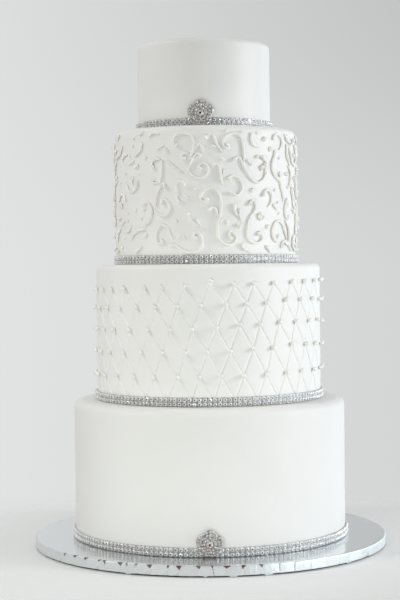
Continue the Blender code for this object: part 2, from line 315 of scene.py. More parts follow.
class RibbonSettings(bpy.types.PropertyGroup):
    """The two-row rhinestone ribbon round the foot of every tier."""

    pitch: length("Pitch", "Distance from stone to stone round the tier", 5.5 * MM)
    rows: count("Rows", "Rows of stones", 2)
    row_gap: length("Row Gap", "Distance between the rows", 5.0 * MM)
    cup: length("Cup", "Outer radius of a stone's cup", 2.5 * MM)
    backing_colour: colour("Backing", "Colour of the mesh between the cups", (0.5, 0.5, 0.5))
    cup_colour: colour("Cup Colour", "Colour of the silver cups", (0.97, 0.97, 0.97))
    lean: angle("Lean", "How far a stone leans out of line", 5.0)
    seed: count("Seed", "Seed of the leans and glints", 23)


class BroochSettings(bpy.types.PropertyGroup):
    """The two flower brooches."""

    petals: count("Petals", "Petals round the flower", 5)
    notch: share("Notch", "How deep the outline falls between two petals", 0.3)
    rise: length("Rise", "How far its middle stands above what is below", 14.6 * MM)
    centre_stone: length("Centre Stone", "Radius of the large stone", 2.8 * MM)
    colour: colour("Silver", "Colour of the setting between the stones", (0.5, 0.475, 0.45))
    cup_colour: colour("Cup Colour", "Colour of the small stones' cups", (0.88, 0.88, 0.87))
    bottom_turn: angle("Bottom Turn", "Where the lower brooch sits, from the front to the right", -0.7)
    top_turn: angle("Top Turn", "Where the upper brooch sits, from the front to the right", -2.9)
    seed: count("Seed", "Seed of the stones' turns and glints", 31)


class FoilSettings(bpy.types.PropertyGroup):
    """The foil wrapped round the drum board."""

    tab: length("Tab", "Usual width of a folded tab round the edge", 13.5 * MM)
    step: length("Step", "How far one tab's end stands off the next", 0.45 * MM)
    tuck_width: length("Tuck Width", "Usual width of the tuck between two tabs, at the rim", 5.2 * MM)
    tuck_depth: length("Tuck Depth", "How deep a tuck goes at the rim", 1.5 * MM)
    colour: colour("Colour", "Colour of the silver foil", (0.81, 0.84, 0.855))
    # Painted shade and reflection: the tucks are coloured dark for their shade, reddish at the front and grey
    # at the left for what they reflect.
    fold_shade_colour: colour("Fold Colour", "Colour of the foil deep in its tucks", (0.17, 0.085, 0.08))
    grey_fold_shade: colour("Grey Fold", "Colour of the tucks at the left", (0.13, 0.13, 0.13))
    roughness: share("Roughness", "Roughness of the satin face", 0.17)
    seed: count("Seed", "Seed of the tabs", 5)


class StageSettings(bpy.types.PropertyGroup):
    """The floor, the light and the camera."""

    floor: colour("Floor", "Colour of the floor", (0.86, 0.87, 0.87))
    fade_start: length("Fade Start", "How far from the middle the floor starts to fade out", 0.15)
    fade_end: length("Fade End", "How far from the middle the floor has faded out", 0.45)
    left_power: strength("Left Light", "Power of the soft light at the upper left, in watts", 20.4)
    left_tint: colour("Left Tint", "Colour of the soft light at the upper left", (1.0, 0.999, 0.975))
    front_power: strength("Front Light", "Power of the low soft light at the front, in watts", 4.53)
    front_tint: colour("Front Tint", "Colour of the low soft light at the front", (0.972, 1.0, 0.946))
    right_power: strength("Right Light", "Power of the small light at the right, in watts", 9.6)
    right_tint: colour("Right Tint", "Colour of the small light at the right", (1.0, 1.0, 1.0))
    right_front_power: strength("Right Front Light", "Power of the light at the front right, in watts", 2.64)
    right_front_tint: colour("Right Front Tint", "Colour of the front right light", (0.797, 0.867, 1.0))
    top_power: strength("Top Light", "Power of the overhead light, in watts", 4.0)
    top_tint: colour("Top Tint", "Colour of the overhead light", (1.0, 1.0, 1.0))
    fill: colour("Fill", "Light from all over the front half", (0.16, 0.16, 0.155))
    room: colour("Room", "Colour of the dim room behind the camera", (0.17, 0.165, 0.16))
    room_high: colour("Upper Room", "Colour of the dim room's upper part", (0.2, 0.165, 0.15))
    window_right: colour("Right Window", "Colour of the room's right side in reflections", (0.81, 0.95, 1.0))
    window_left: colour("Left Window", "Colour of the room's left side in reflections", (0.15, 0.147, 0.14))
    window_strength: strength("Window Strength", "How bright the sides of the room are in reflections", 3.0)
    backdrop_left: colour("Backdrop Left", "Backdrop at the left", (0.76, 0.775, 0.768))
    backdrop_right: colour("Backdrop Right", "Backdrop at the right", (0.652, 0.665, 0.658))
    top_left: colour("Top Left", "Backdrop high up at the left", (0.73, 0.74, 0.735))
    top_right: colour("Top Right", "Backdrop high up at the right", (0.533, 0.54, 0.54))


SETTINGS = {
    "cake_fondant": FondantSettings,
    "cake_quilt": QuiltSettings,
    "cake_pearls": PearlSettings,
    "cake_piping": PipingSettings,
    "cake_ribbon": RibbonSettings,
    "cake_brooch": BroochSettings,
    "cake_foil": FoilSettings,
    "cake_stage": StageSettings,
}


def tiers():
    """The four tiers' places, by name."""
    fondant = bpy.context.scene.cake_fondant
    edges = dict.fromkeys(("bottom", "quilted", "scroll", "top"), fondant.edge)
    edges["bottom"] = fondant.bottom_edge
    return {name: tier_place(name, edge) for name, edge in edges.items()}


# ---------------------------------------------------------------- finishes


def off_wall(made, name, near, far):
    """0 where a place is up to near off a tier's wall, 1 from far off it: the mask of the painted contact
    shade.
    """
    tier = tiers()[name]
    inputs = (made.place, (1.0, 1.0, 0.0), (-tier.x, 0.0, 0.0))
    level = made.add("ShaderNodeVectorMath", {"operation": "MULTIPLY_ADD"}, inputs)
    radius = made.add("ShaderNodeVectorMath", {"operation": "LENGTH"}, (level,)).output("Value")
    return made.span(radius, tier.radius + near, tier.radius + far)


# Painted light: each tier's fondant colour is scaled lighter or darker for how the light falls on it.
FONDANT_PAINTED_LIGHT = {"bottom": 1.0, "quilted": 1.055, "scroll": 1.045, "top": 0.98}


def fondant_finish(name):
    """Smooth rolled fondant: a faint satin, soft dull patches, and a very fine sugar grain. Each tier's
    colour is scaled a little lighter or darker, as painted light for how the light falls on that tier."""
    settings = bpy.context.scene.cake_fondant
    made = Surface("fondant_" + name)
    # tone scales the colours as painted light
    tone = FONDANT_PAINTED_LIGHT[name]
    shade, colour = (tuple(c * tone for c in given) for given in (settings.shade, settings.colour))
    patches = made.noise(70 * MM, detail=3.0)
    grain = made.noise(0.9 * MM, detail=2.0)
    smoothing = made.noise(26 * MM, detail=1.0, stretch=(1.0, 1.0, 0.45))
    relief = made.bump(smoothing, 0.35 * MM)
    relief = made.bump(grain, 0.02 * MM, relief)
    return made.set(
        Base_Color=made.blend(made.span(patches, 0.35, 0.65), shade, colour),
        Roughness=settings.roughness + 0.12 * (patches - 0.5) + 0.1 * (grain - 0.5),
        Specular_IOR_Level=0.35,
        Normal=relief,
    )


def icing_finish():
    """Royal icing that set dry: slightly matt, with faint drag lines and pinholes, and painted contact shade,
    darker and warmer, where it meets the wall.
    """
    settings = bpy.context.scene.cake_piping
    made = Surface("royal_icing")
    drag = made.noise(1.6 * MM, detail=2.0)
    pores = made.noise(0.5 * MM, detail=1.0)
    relief = made.bump(drag, 0.12 * MM)
    relief = made.bump(pores, 0.03 * MM, relief)
    tone = made.span(made.noise(8 * MM), 0.3, 0.7)
    warm = tuple(c * k for c, k in zip(settings.colour, (0.99, 0.975, 0.945)))
    body = made.blend(tone, warm, tuple(settings.colour))
    # Painted contact shade: darker and warmer towards the wall.
    clear = off_wall(made, "scroll", 0.2 * MM, 1.2 * MM)
    return made.set(
        Base_Color=made.blend(clear, tuple(settings.contact_shade_colour), body),
        Roughness=0.5 + 0.2 * (drag - 0.5),
        Specular_IOR_Level=0.35,
        Subsurface_Weight=0.6,
        Subsurface_Radius=(1.0, 0.95, 0.85),
        Subsurface_Scale=1.5 * MM,
        Normal=relief,
    )


def pearl_finish():
    """Sugar pearls: a white shell with a soft lustre, a little different from pearl to pearl, and painted
    contact shade, darker and warmer, where a pearl meets the wall.
    """
    settings = bpy.context.scene.cake_pearls
    made = Surface("sugar_pearl")
    tint = made.add("ShaderNodeAttribute", {"attribute_name": "tint"}).output("Fac")
    pitting = made.noise(0.7 * MM)
    dull = tuple(c * k for c, k in zip(settings.colour, (0.96, 0.95, 0.93)))
    body = made.blend(tint, dull, tuple(settings.colour))
    # Painted contact shade: darker and warmer towards the wall.
    clear = off_wall(made, "quilted", 0.3 * MM, 2.2 * MM)
    return made.set(
        Base_Color=made.blend(clear, tuple(settings.contact_shade_colour), body),
        Roughness=0.42 + 0.12 * (pitting - 0.5),
        Coat_Weight=0.2,
        Coat_Roughness=0.2,
        Normal=made.bump(pitting, 0.02 * MM),
    )


def foil_finish():
    """Satin silver foil over card: faint rolling streaks, soft dents, and sharper wrinkles at the edge. Its
    folded edge, the recess under its foot and its tucks are painted darker as painted shade, the tucks' tint
    is painted reflection, and the foil is darker towards the table.
    """
    settings = bpy.context.scene.cake_foil
    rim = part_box("board")[1].x
    made = Surface("silver_foil")
    height = made.add("ShaderNodeSeparateXYZ", inputs=(made.place,)).output("Z")
    radius = made.add("ShaderNodeVectorMath", {"operation": "LENGTH"}, (made.place,)).output("Value")
    edge = made.span(radius, rim - 1.7 * MM, rim - 0.4 * MM)
    dents = made.noise(22 * MM, detail=2.0)
    wrinkles = made.noise(2.6 * MM, detail=3.0, roughness=0.6, stretch=(1.0, 1.0, 0.35))
    streaks = made.noise(1.2 * MM, detail=2.0, stretch=(0.06, 1.0, 1.0))
    relief = made.bump(dents, 0.25 * MM)
    relief = made.bump(wrinkles * edge, 0.7 * MM, relief)
    relief = made.bump(streaks, 0.006 * MM, relief)
    # The foil's lowest 4 mm turn darker towards the table; worn is only the mask of this.
    worn = made.span(height, 0.0, 4 * MM)
    shade = tuple(c * 0.86 for c in settings.colour)
    # Painted shade: the folded edge is made a tenth darker.
    flat = made.blend(edge, tuple(settings.colour), tuple(c * 0.9 for c in settings.colour))
    sheen = made.blend(worn, shade, flat)
    # Painted shade: the foil in the recess under the board's foot is made nearly black.
    inside = 1.0 - made.span(radius, rim - 3.7 * MM, rim - 0.7 * MM)
    inside *= 1.0 - made.span(height, 2.0 * MM, 2.6 * MM)
    sheen = made.blend(inside, sheen, (0.02, 0.022, 0.025))
    # Painted shade in the tucks: dark, reddish, or grey at the left, for their shade and what they reflect.
    fold = made.add("ShaderNodeAttribute", {"attribute_name": "fold"}).output("Fac")
    side = made.add("ShaderNodeSeparateXYZ", inputs=(made.place,), output="X")
    folds = made.blend(made.span(side, -0.1, -0.03), tuple(settings.grey_fold_shade), tuple(settings.fold_shade_colour))
    return made.set(
        Base_Color=made.blend(made.span(fold, 0.15, 0.75), sheen, folds),
        Metallic=0.87 - 0.47 * edge,
        Roughness=settings.roughness + 0.1 * (streaks - 0.5) + 0.15 * edge,
        Normal=relief,
    )


def silver_finish(name, colour_of, roughness, wear_size, metal):
    """Plated metal, or silvered plastic where metal is less than 1, darker in its worn patches."""
    made = Surface(name)
    wear = made.noise(wear_size, detail=2.0)
    dark = tuple(c * 0.55 for c in colour_of)
    return made.set(
        Base_Color=made.blend(made.span(wear, 0.3, 0.65), dark, tuple(colour_of)),
        Metallic=metal,
        Roughness=roughness + 0.12 * (wear - 0.5),
        Normal=made.bump(wear, 0.05 * MM),
    )


def stone_finish(name, stops, metal, rosy=None):
    """Cut stones over foil, with painted reflection: each facet has a random brightness of its own, and
    the table is painted darker, for the dim room that it reflects. Some stones are rosy."""
    made = Surface(name)
    glint, table, tint = (
        made.add("ShaderNodeAttribute", {"attribute_name": label}).output("Fac")
        for label in ("glint", "table", "tint")
    )
    # Painted reflection: a random brightness for each facet, and the table darker.
    shown = (0.25 + 0.75 * glint) * (1.0 - 0.85 * table)
    ramp = made.add("ShaderNodeValToRGB", {"stops": stops}, (shown,))
    if rosy:
        rosy = made.add("ShaderNodeValToRGB", {"stops": rosy}, (shown,))
        ramp = made.blend(made.span(tint, 0.72, 0.8), ramp, rosy)
    scuffs = made.noise(0.4 * MM)
    return made.set(
        Base_Color=ramp,
        Metallic=metal,
        Roughness=0.06 + 0.06 * scuffs,
        Coat_Weight=0.6,
        Coat_Roughness=0.03,
    )


# ---------------------------------------------------------------- meshes


def add_piece(name, mesh, smooth=True):
    """Puts a mesh into the scene as a piece at the origin."""
    if smooth:
        mesh.shade_smooth()
    obj = bpy.data.objects.new(name, mesh)
    bpy.context.scene.collection.objects.link(obj)
    return obj


def settle(obj, slot, *nodes):
    """Lets a piece ride on the cake, for the packed solids that it stands for, which it hides. Its slot is
    not used.
    """
    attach(obj, "root")
    if nodes:
        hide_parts(*nodes)


def skin(name, rings, material, tube=False):
    """A closed mesh from rings of points, top to bottom. A ring of one point is a pole, and a tube's last
    ring joins its first."""
    points = [point for ring in rings for point in ring]
    faces = []
    start = 0
    for upper, lower in zip(rings, rings[1:] + rings[:1] * tube):
        below = (start + len(upper)) % len(points)
        sides = max(len(upper), len(lower))
        for side in range(sides):
            after = (side + 1) % sides
            if len(upper) == 1:
                faces.append((start, below + side, below + after))
            elif len(lower) == 1:
                faces.append((start + side, below, start + after))
            else:
                faces.append((start + side, below + side, below + after, start + after))
        start = below
    mesh = bpy.data.meshes.new(name)
    mesh.from_pydata(points, [], faces)
    mesh.materials.append(material)
    return mesh


def lathe(name, profile, sides, material, x=0.0, shape=None, tube=False):
    """A turned mesh from (radius, height) pairs that run down its outer side. shape bends a point of it:
    it takes degrees, radius and height, and returns the last two."""
    rings = []
    for radius, height in profile:
        ring = []
        for side in range(sides if radius > 0.0 else 1):
            degrees = 360.0 * side / sides
            reach, level = shape(degrees, radius, height) if shape else (radius, height)
            spot = outward(degrees) * reach
            ring.append((spot.x + x, spot.y, level))
        rings.append(ring)
    return skin(name, rings, material, tube)


def steps(start, end, count):
    """Count even steps from start to end, without start."""
    return [start + (end - start) * (step + 1) / count for step in range(count)]


def tier_profile(tier, wall_step=6 * MM, foot=0.0):
    """A tier's outline from its top centre, over the rounded edge, down the wall and back to the middle."""
    height = tier.top - tier.base
    flat = tier.radius - tier.edge
    profile = [(0.0, height)] + [(flat * part, height) for part in (0.25, 0.5, 0.75, 0.92, 1.0)]
    for turn in steps(0.0, 90.0, 9):
        bend = math.radians(turn)
        profile.append((flat + tier.edge * math.sin(bend), height - tier.edge * (1.0 - math.cos(bend))))
    wall = height - tier.edge - foot
    profile += [(tier.radius, level) for level in steps(height - tier.edge, foot, round(wall / wall_step))]
    profile += [(0.6 * tier.radius, foot), (0.0, foot)]
    return [(radius, tier.base + level) for radius, level in profile]


def hand_smoothed(tier, sway, seed):
    """Strays a wall from true by up to sway, as a smoother pressed by hand leaves it."""

    def shape(degrees, radius, height):
        spot = outward(degrees) * 1.6
        stray = noise.noise(Vector((spot.x, spot.y, height / (60 * MM) + seed)))
        return radius + sway * (stray - 0.5) * radius / tier.radius, height

    return shape


# ---------------------------------------------------------------- things that repeat


class Recipe(Nodes):
    """A Geometry Nodes tree with named inputs, which makes a plain mesh from a carrier."""

    def __init__(self, name, **inputs):
        super().__init__(bpy.data.node_groups.new(name, "GeometryNodeTree"))
        sockets = self.tree.interface
        sockets.new_socket("Geometry", in_out="INPUT", socket_type="NodeSocketGeometry")
        for label, kind in inputs.items():
            sockets.new_socket(label.replace("_", " "), in_out="INPUT", socket_type="NodeSocket" + kind)
        sockets.new_socket("Geometry", in_out="OUTPUT", socket_type="NodeSocketGeometry")
        self.entry = self.tree.nodes.new("NodeGroupInput")

    def given(self, name):
        return Link(self, self.entry.outputs[name])

    def attribute(self, name, kind="FLOAT"):
        return self.add("GeometryNodeInputNamedAttribute", {"data_type": kind}, (name,))

    def store(self, geometry, name, value, domain="POINT"):
        settings = {"data_type": "FLOAT", "domain": domain}
        sockets = {"Geometry": geometry, "Name": name, "Value": value}
        return self.add("GeometryNodeStoreNamedAttribute", settings, sockets)

    def chance(self, low, high, seed, kind="FLOAT"):
        """A random value for each element, from a seed."""
        made = self.add("FunctionNodeRandomValue", {"data_type": kind})
        node = made.socket.node
        lows = [s for s in node.inputs if s.name == "Min" and s.enabled]
        highs = [s for s in node.inputs if s.name == "Max" and s.enabled]
        self.feed(lows[0], low)
        self.feed(highs[0], high)
        self.feed(node.inputs["Seed"], seed)
        return Link(self, next(s for s in node.outputs if s.enabled))

    def end(self, geometry, smooth):
        """Makes instances real, gives them their material, and ends the tree."""
        real = self.add("GeometryNodeRealizeInstances", inputs=(geometry,))
        shaded = self.add("GeometryNodeSetShadeSmooth", inputs={"Geometry": real, "Shade Smooth": smooth})
        coated = self.add("GeometryNodeSetMaterial", inputs=(shaded,))
        self.feed(coated.socket.node.inputs["Material"], self.given("Material"))
        self.tree.links.new(coated.socket, self.tree.nodes.new("NodeGroupOutput").inputs[0])
        return self

    def make(self, name, carrier, **values):
        """The mesh that the tree makes from a carrier mesh, with these inputs."""
        holder = bpy.data.objects.new(name, carrier)
        bpy.context.scene.collection.objects.link(holder)
        modifier = holder.modifiers.new(self.tree.name, "NODES")
        modifier.node_group = self.tree
        for item in self.tree.interface.items_tree:
            key = item.name.replace(" ", "_")
            if item.in_out == "INPUT" and key in values:
                modifier[item.identifier] = values[key]
        graph = bpy.context.evaluated_depsgraph_get()
        mesh = bpy.data.meshes.new_from_object(
            holder.evaluated_get(graph), preserve_all_data_layers=True, depsgraph=graph
        )
        bpy.data.objects.remove(holder)
        mesh.name = name
        return mesh


def setting_recipe():
    """Sets copies of one shape on points, each standing along its point's outward and as large as its
    size says, with some variation in size, lean and turn. Every facet of a copy gets a random brightness,
    as painted reflection."""
    recipe = Recipe(
        "Set on Points",
        Shape="Object",
        Size_Variation="Float",
        Lean="Float",
        Turn="Float",
        Seed="Int",
        Smooth="Bool",
        Material="Material",
    )
    seed = recipe.given("Seed")
    axes = {"primary_axis": "Z", "secondary_axis": "Y"}
    stand = recipe.add(
        "FunctionNodeAxesToRotation", axes, (recipe.attribute("outward", "FLOAT_VECTOR"), (0.0, 0.0, 1.0))
    )
    lean = recipe.given("Lean")
    leans = [recipe.chance(-1.0, 1.0, seed + offset) * lean for offset in (1, 2)]
    turn = recipe.chance(-1.0, 1.0, seed + 3) * recipe.given("Turn")
    euler = recipe.add("ShaderNodeCombineXYZ", inputs=(leans[0], leans[1], turn))
    wobble = recipe.add("FunctionNodeEulerToRotation", inputs=(euler,))
    facing = recipe.add("FunctionNodeRotateRotation", {"rotation_space": "LOCAL"}, (stand, wobble))
    vary = 1.0 + recipe.chance(-1.0, 1.0, seed + 4) * recipe.given("Size Variation")
    scale = recipe.attribute("size") * vary
    shape = recipe.add("GeometryNodeObjectInfo", inputs=(recipe.given("Shape"),)).output("Geometry")
    sockets = {"Points": recipe.given("Geometry"), "Instance": shape, "Rotation": facing, "Scale": scale}
    copies = recipe.add("GeometryNodeInstanceOnPoints", inputs=sockets)
    copies = recipe.store(copies, "tint", recipe.chance(0.0, 1.0, seed + 5), "INSTANCE")
    real = recipe.add("GeometryNodeRealizeInstances", inputs=(copies,))
    # Painted reflection: a random brightness for each facet.
    real = recipe.store(real, "glint", recipe.chance(0.0, 1.0, seed + 6), "FACE")
    return recipe.end(real, recipe.given("Smooth"))


def piping_recipe():
    """Pipes a round bead along lines, as thick as their bead attribute says, with small swells."""
    recipe = Recipe(
        "Piped Bead",
        Sides="Int",
        Unevenness="Float",
        Swell_Length="Float",
        Seed="Int",
        Material="Material",
    )
    place = recipe.add("GeometryNodeInputPosition")
    scale = 1.0 / recipe.given("Swell Length")
    sockets = {"Vector": place, "W": recipe.given("Seed"), "Scale": scale, "Detail": 1.0}
    swell = recipe.add("ShaderNodeTexNoise", {"noise_dimensions": "4D"}, sockets)
    thickness = recipe.attribute("bead") * (1.0 + recipe.given("Unevenness") * 4.0 * (swell - 0.5))
    curves = recipe.add("GeometryNodeMeshToCurve", inputs=(recipe.given("Geometry"),))
    around = recipe.add("GeometryNodeCurvePrimitiveCircle", inputs=(recipe.given("Sides"),))
    recipe.feed(around.socket.node.inputs["Radius"], 1.0)
    sockets = {"Curve": curves, "Profile Curve": around, "Scale": thickness, "Fill Caps": True}
    bead = recipe.add("GeometryNodeCurveToMesh", inputs=sockets)
    return recipe.end(bead, True)


def points_mesh(name, points, outwards=None, sizes=None):
    """A carrier of loose points with their outward and size."""
    mesh = bpy.data.meshes.new(name)
    mesh.from_pydata(points, [], [])
    if outwards:
        held = mesh.attributes.new("outward", "FLOAT_VECTOR", "POINT")
        held.data.foreach_set("vector", [c for way in outwards for c in way])
    if sizes:
        held = mesh.attributes.new("size", "FLOAT", "POINT")
        held.data.foreach_set("value", sizes)
    return mesh


def set_shapes(name, shape_mesh, points_carrier, material, variation, lean, turn, seed, smooth=False):
    """One mesh of copies of a shape, set on the points of a carrier."""
    shape = add_piece(name + "_shape", shape_mesh, smooth)
    made = setting_recipe().make(
        name,
        points_carrier,
        Shape=shape,
        Size_Variation=variation,
        Lean=lean,
        Turn=turn,
        Seed=seed,
        Smooth=smooth,
        Material=material,
    )
    bpy.data.objects.remove(shape)
    return add_piece(name, made, smooth)


def turned_shape(name, profile, sides):
    """A small turned mesh on the origin, standing along +Z, for copies of it."""
    rings = []
    for radius, height in profile:
        turns = [math.tau * side / sides for side in range(sides if radius > 0.0 else 1)]
        rings.append([(radius * math.cos(turn), radius * math.sin(turn), height) for turn in turns])
    return skin(name, rings, None)


# ---------------------------------------------------------------- the board

RIM_ROUND = 1.3 * MM
FOOT_GAP = 1.9 * MM
FOOT_UNDERCUT = 4.0 * MM
BOARD_SIDES = 1700
FRONT_TUCKS = (-54.0, 18.0)
BACK_TUCKS = 135.0
FOLD_REACH = 6 * MM
CREASE_HALF_WIDTH = 0.55 * MM


def foil_tabs(settings, reach):
    """The folded tabs round the edge: where each starts and ends, in metres round, with its own slants."""
    chance = random.Random(settings.seed)
    around = math.tau * reach
    widths = []
    while sum(widths) < around:
        widths.append(settings.tab * chance.uniform(0.45, 1.6))
    squeeze = around / sum(widths)
    tabs = []
    start = 0.0
    for width in widths:
        end = start + width * squeeze
        tabs.append(
            {
                "start": start,
                "end": end,
                "step": settings.step * chance.uniform(0.5, 1.2),
                "slant": math.radians(chance.uniform(-4.5, 4.5)),
                "tuck_width": settings.tuck_width * chance.uniform(0.3, 1.9),
                "tuck_depth": settings.tuck_depth * chance.uniform(0.6, 1.1),
                "tuck_drop": chance.uniform(1.6, 4.2) * MM,
                "lean": chance.uniform(-0.6, 0.6),
                "crease": chance.uniform(0.0, 1.0),
                "tucked": tucked(math.degrees(start / reach)),
            }
        )
        start = end
    return tabs


def tucked(degrees):
    """How deep the tucks go, from 0 to 1: they are at the front and, as a guess, at the back."""
    away = (degrees + 180.0) % 360.0 - 180.0
    front = min((away - FRONT_TUCKS[0]) / 4.0, (FRONT_TUCKS[1] - away) / 8.0)
    back = (abs(away) - BACK_TUCKS) / 10.0
    return min(1.0, max(0.0, front, back))


def tab_depth(tabs, around, s, down, thickness):
    """How deep the foil lies under the true edge, at s metres round and down metres below the rim, and how
    far inside a tuck or a crease that is."""
    fold = 0.0
    tab = next(t for t in tabs if s <= t["end"])
    share_along = (s - tab["start"]) / (tab["end"] - tab["start"])
    depth = tab["step"] * share_along
    depth += abs(tab["slant"]) * (down if tab["slant"] > 0.0 else thickness - down)
    depth += 0.25 * MM * (2.0 * share_along - 1.0) ** 2
    for other in tabs:
        away = s - other["start"] - other["lean"] * down
        away = (away + 0.5 * around) % around - 0.5 * around
        if abs(away) > FOLD_REACH:
            continue
        left = 1.0 - down / other["tuck_drop"]
        if left > 0.0:
            half = 0.5 * other["tuck_width"] * left + 0.2 * MM
            inside = other["tucked"] * max(0.0, 1.0 - abs(away) / half)
            depth = max(depth, other["tuck_depth"] * left * inside)
            fold = max(fold, min(1.0, 3.0 * inside))
        if other["crease"] > 0.4:
            inside = max(0.0, 1.0 - abs(away) / CREASE_HALF_WIDTH)
            gapes = other["tucked"] > 0.5 and other["crease"] > 0.8
            gapes = gapes and down > (0.45 if other["crease"] < 0.9 else 0.1) * thickness
            depth = max(depth, (0.8 if gapes else 0.4) * MM * inside)
            fold = max(fold, (1.0 if gapes else 0.2 + 0.25 * other["tucked"]) * inside)
    return depth, fold


def foot_touch(degrees):
    """Where the foil's lower edge comes down to the table, from 0 to 1. Elsewhere it leaves a thin gap."""
    stray = noise.noise(outward(degrees) * 14.0)
    return min(1.0, max(0.0, (stray - 0.34) / 0.06))


def make_board():
    """The drum board: a satin foil top, and the foil's tabs folded down over its edge."""
    settings = bpy.context.scene.cake_foil
    low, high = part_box("board")
    reach = 0.5 * (high.x - low.x)
    top = high.z
    around = math.tau * reach
    tabs = foil_tabs(settings, reach)
    profile = [(part * reach, top) for part in (0.0, 0.4, 0.7, 0.85, 0.93, 0.97)]
    flat = reach - RIM_ROUND
    profile.append((flat, top))
    for turn in steps(0.0, 90.0, 4):
        bend = math.radians(turn)
        profile.append((flat + RIM_ROUND * math.sin(bend), top - RIM_ROUND * (1.0 - math.cos(bend))))
    profile += [(reach, height) for height in steps(top - RIM_ROUND, FOOT_GAP, 14)]
    profile += [(reach - 0.3 * MM, 0.9 * FOOT_GAP), (reach - FOOT_UNDERCUT, 0.9 * FOOT_GAP)]
    profile += [(reach - FOOT_UNDERCUT, 0.0), (0.6 * reach, 0.0), (0.0, 0.0)]

    folds = []

    def folded(degrees, radius, height):
        over = (radius - flat) / RIM_ROUND
        if over < 0.0:
            folds.append(0.0)
            return radius, height
        s = math.radians(degrees) * reach % around
        depth, fold = tab_depth(tabs, around, s, top - height, top)
        folds.append(fold)
        if height < 1.01 * FOOT_GAP:
            height *= 1.0 - 0.85 * foot_touch(degrees)
        return radius - depth * min(over, 1.0), height

    mesh = lathe("foil_board", profile, BOARD_SIDES, foil_finish(), shape=folded)
    mesh.attributes.new("fold", "FLOAT", "POINT").data.foreach_set("value", folds)
    settle(add_piece("foil_board", mesh), "foil", "board")


# ---------------------------------------------------------------- the tiers

TIER_SIDES = 288


def make_plain_tiers():
    """The bottom and top tiers: smooth fondant over a rounded edge."""
    sway = bpy.context.scene.cake_fondant.sway
    for name in ("bottom", "top"):
        tier = tiers()[name]
        shape = hand_smoothed(tier, sway, tier.top)
        finish = fondant_finish(name)
        mesh = lathe(f"plain_tier_{name}", tier_profile(tier), TIER_SIDES, finish, tier.x, shape)
        settle(add_piece(mesh.name, mesh), "fondant", "tier_" + name)


# Where the crossings of the pressed lines sit round the front, row by row from the top, in degrees. Each
# row starts with the column that the first number gives; the columns that it leaves out go evenly round
# the back. Line one leans to the right on its way down, and line two to the left.
COLUMNS = 32
CROSSINGS = (
    (-6, (-65.6, -55.7, -45.2, -32.1, -22.8, -11.6, 1.0, 12.2, 22.1, 33.0, 44.6, 54.5, 65.8)),
    (-7, (-70.8, -60.1, -49.0, -37.3, -26.4, -15.3, -3.8, 8.3, 18.5, 28.8, 40.4, 51.2, 63.1)),
    (-7, (-64.5, -53.7, -41.8, -30.4, -18.9, -8.0, 3.7, 14.7, 25.2, 36.3, 47.4, 59.2, 70.3)),
    (-8, (-69.4, -58.1, -46.1, -34.5, -22.9, -11.4, -0.9, 10.0, 21.6, 32.1, 44.3, 55.7, 66.4)),
    (-8, (-63.6, -51.4, -39.3, -27.5, -15.2, -4.8, 5.5, 16.6, 28.4, 40.4, 51.7, 63.8, 75.2)),
)
ROW_HEIGHTS = (130.8 * MM, 109.6 * MM, 84.6 * MM, 59.1 * MM, 32.6 * MM)
# The crossings that sit higher than their row, by row and place in it, in millimetres.
LIFTS = {
    (0, 6): 4.7, (1, 10): 2.1, (1, 11): 2.1, (1, 12): 1.5, (2, 7): 3.2, (2, 8): 2.6, (2, 9): 3.2,
    (2, 10): 2.8, (2, 11): 2.0, (2, 12): 2.8, (3, 8): 2.1, (3, 9): 1.1, (3, 10): 3.9, (3, 11): 2.4,
    (3, 12): 2.1,
}
FOOT_ROW_HEIGHT = 6.5 * MM
FOOT_ROW_LEAN = 6.9
CELL_STEPS = (0.0, 0.011, 0.022, 0.036, 0.055, 0.085, 0.14, 0.24, 0.37, 0.5)


def quilt_crossings():
    """(degrees, height) of each crossing, by column and row. The last row is behind the band."""
    settings = bpy.context.scene.cake_quilt
    chance = random.Random(settings.seed)
    spots = {}
    for row, (first, angles) in enumerate(CROSSINGS):
        gap = (angles[0] + 360.0 - angles[-1]) / (COLUMNS - len(angles) + 1)
        for step in range(COLUMNS):
            past = step - len(angles) + 1
            degrees = angles[step] if past <= 0 else angles[-1] + gap * past + chance.uniform(-0.5, 0.5)
            rise = (settings.tilt - settings.tilt_loss * row) * math.sin(math.radians(degrees))
            stray = LIFTS.get((row, step), 0.0) * MM + chance.uniform(-1.0, 1.0) * settings.stray
            height = ROW_HEIGHTS[row] + rise + stray
            spots[(first + step) % COLUMNS, row] = (degrees, height)
    last = len(CROSSINGS) - 1
    for column in range(COLUMNS):
        spots[column, last + 1] = (spots[column, last][0] + FOOT_ROW_LEAN, FOOT_ROW_HEIGHT)
    return spots


def near(degrees, other):
    """Degrees, turned by whole rounds to lie within half a round of the other."""
    return other + (degrees - other + 180.0) % 360.0 - 180.0


def press_depth(one, two, widths, settings):
    """How far the fondant is pressed in, at shares one and two across a diamond of these widths."""
    depth = 0.0
    for part, width in zip((one, two), widths):
        away = min(part, 1.0 - part) * width
        line = settings.groove_depth * math.exp(-((away / settings.groove_width) ** 2))
        depth = max(depth, line + settings.pillow * math.exp(-away / (2.5 * MM)))
    return depth


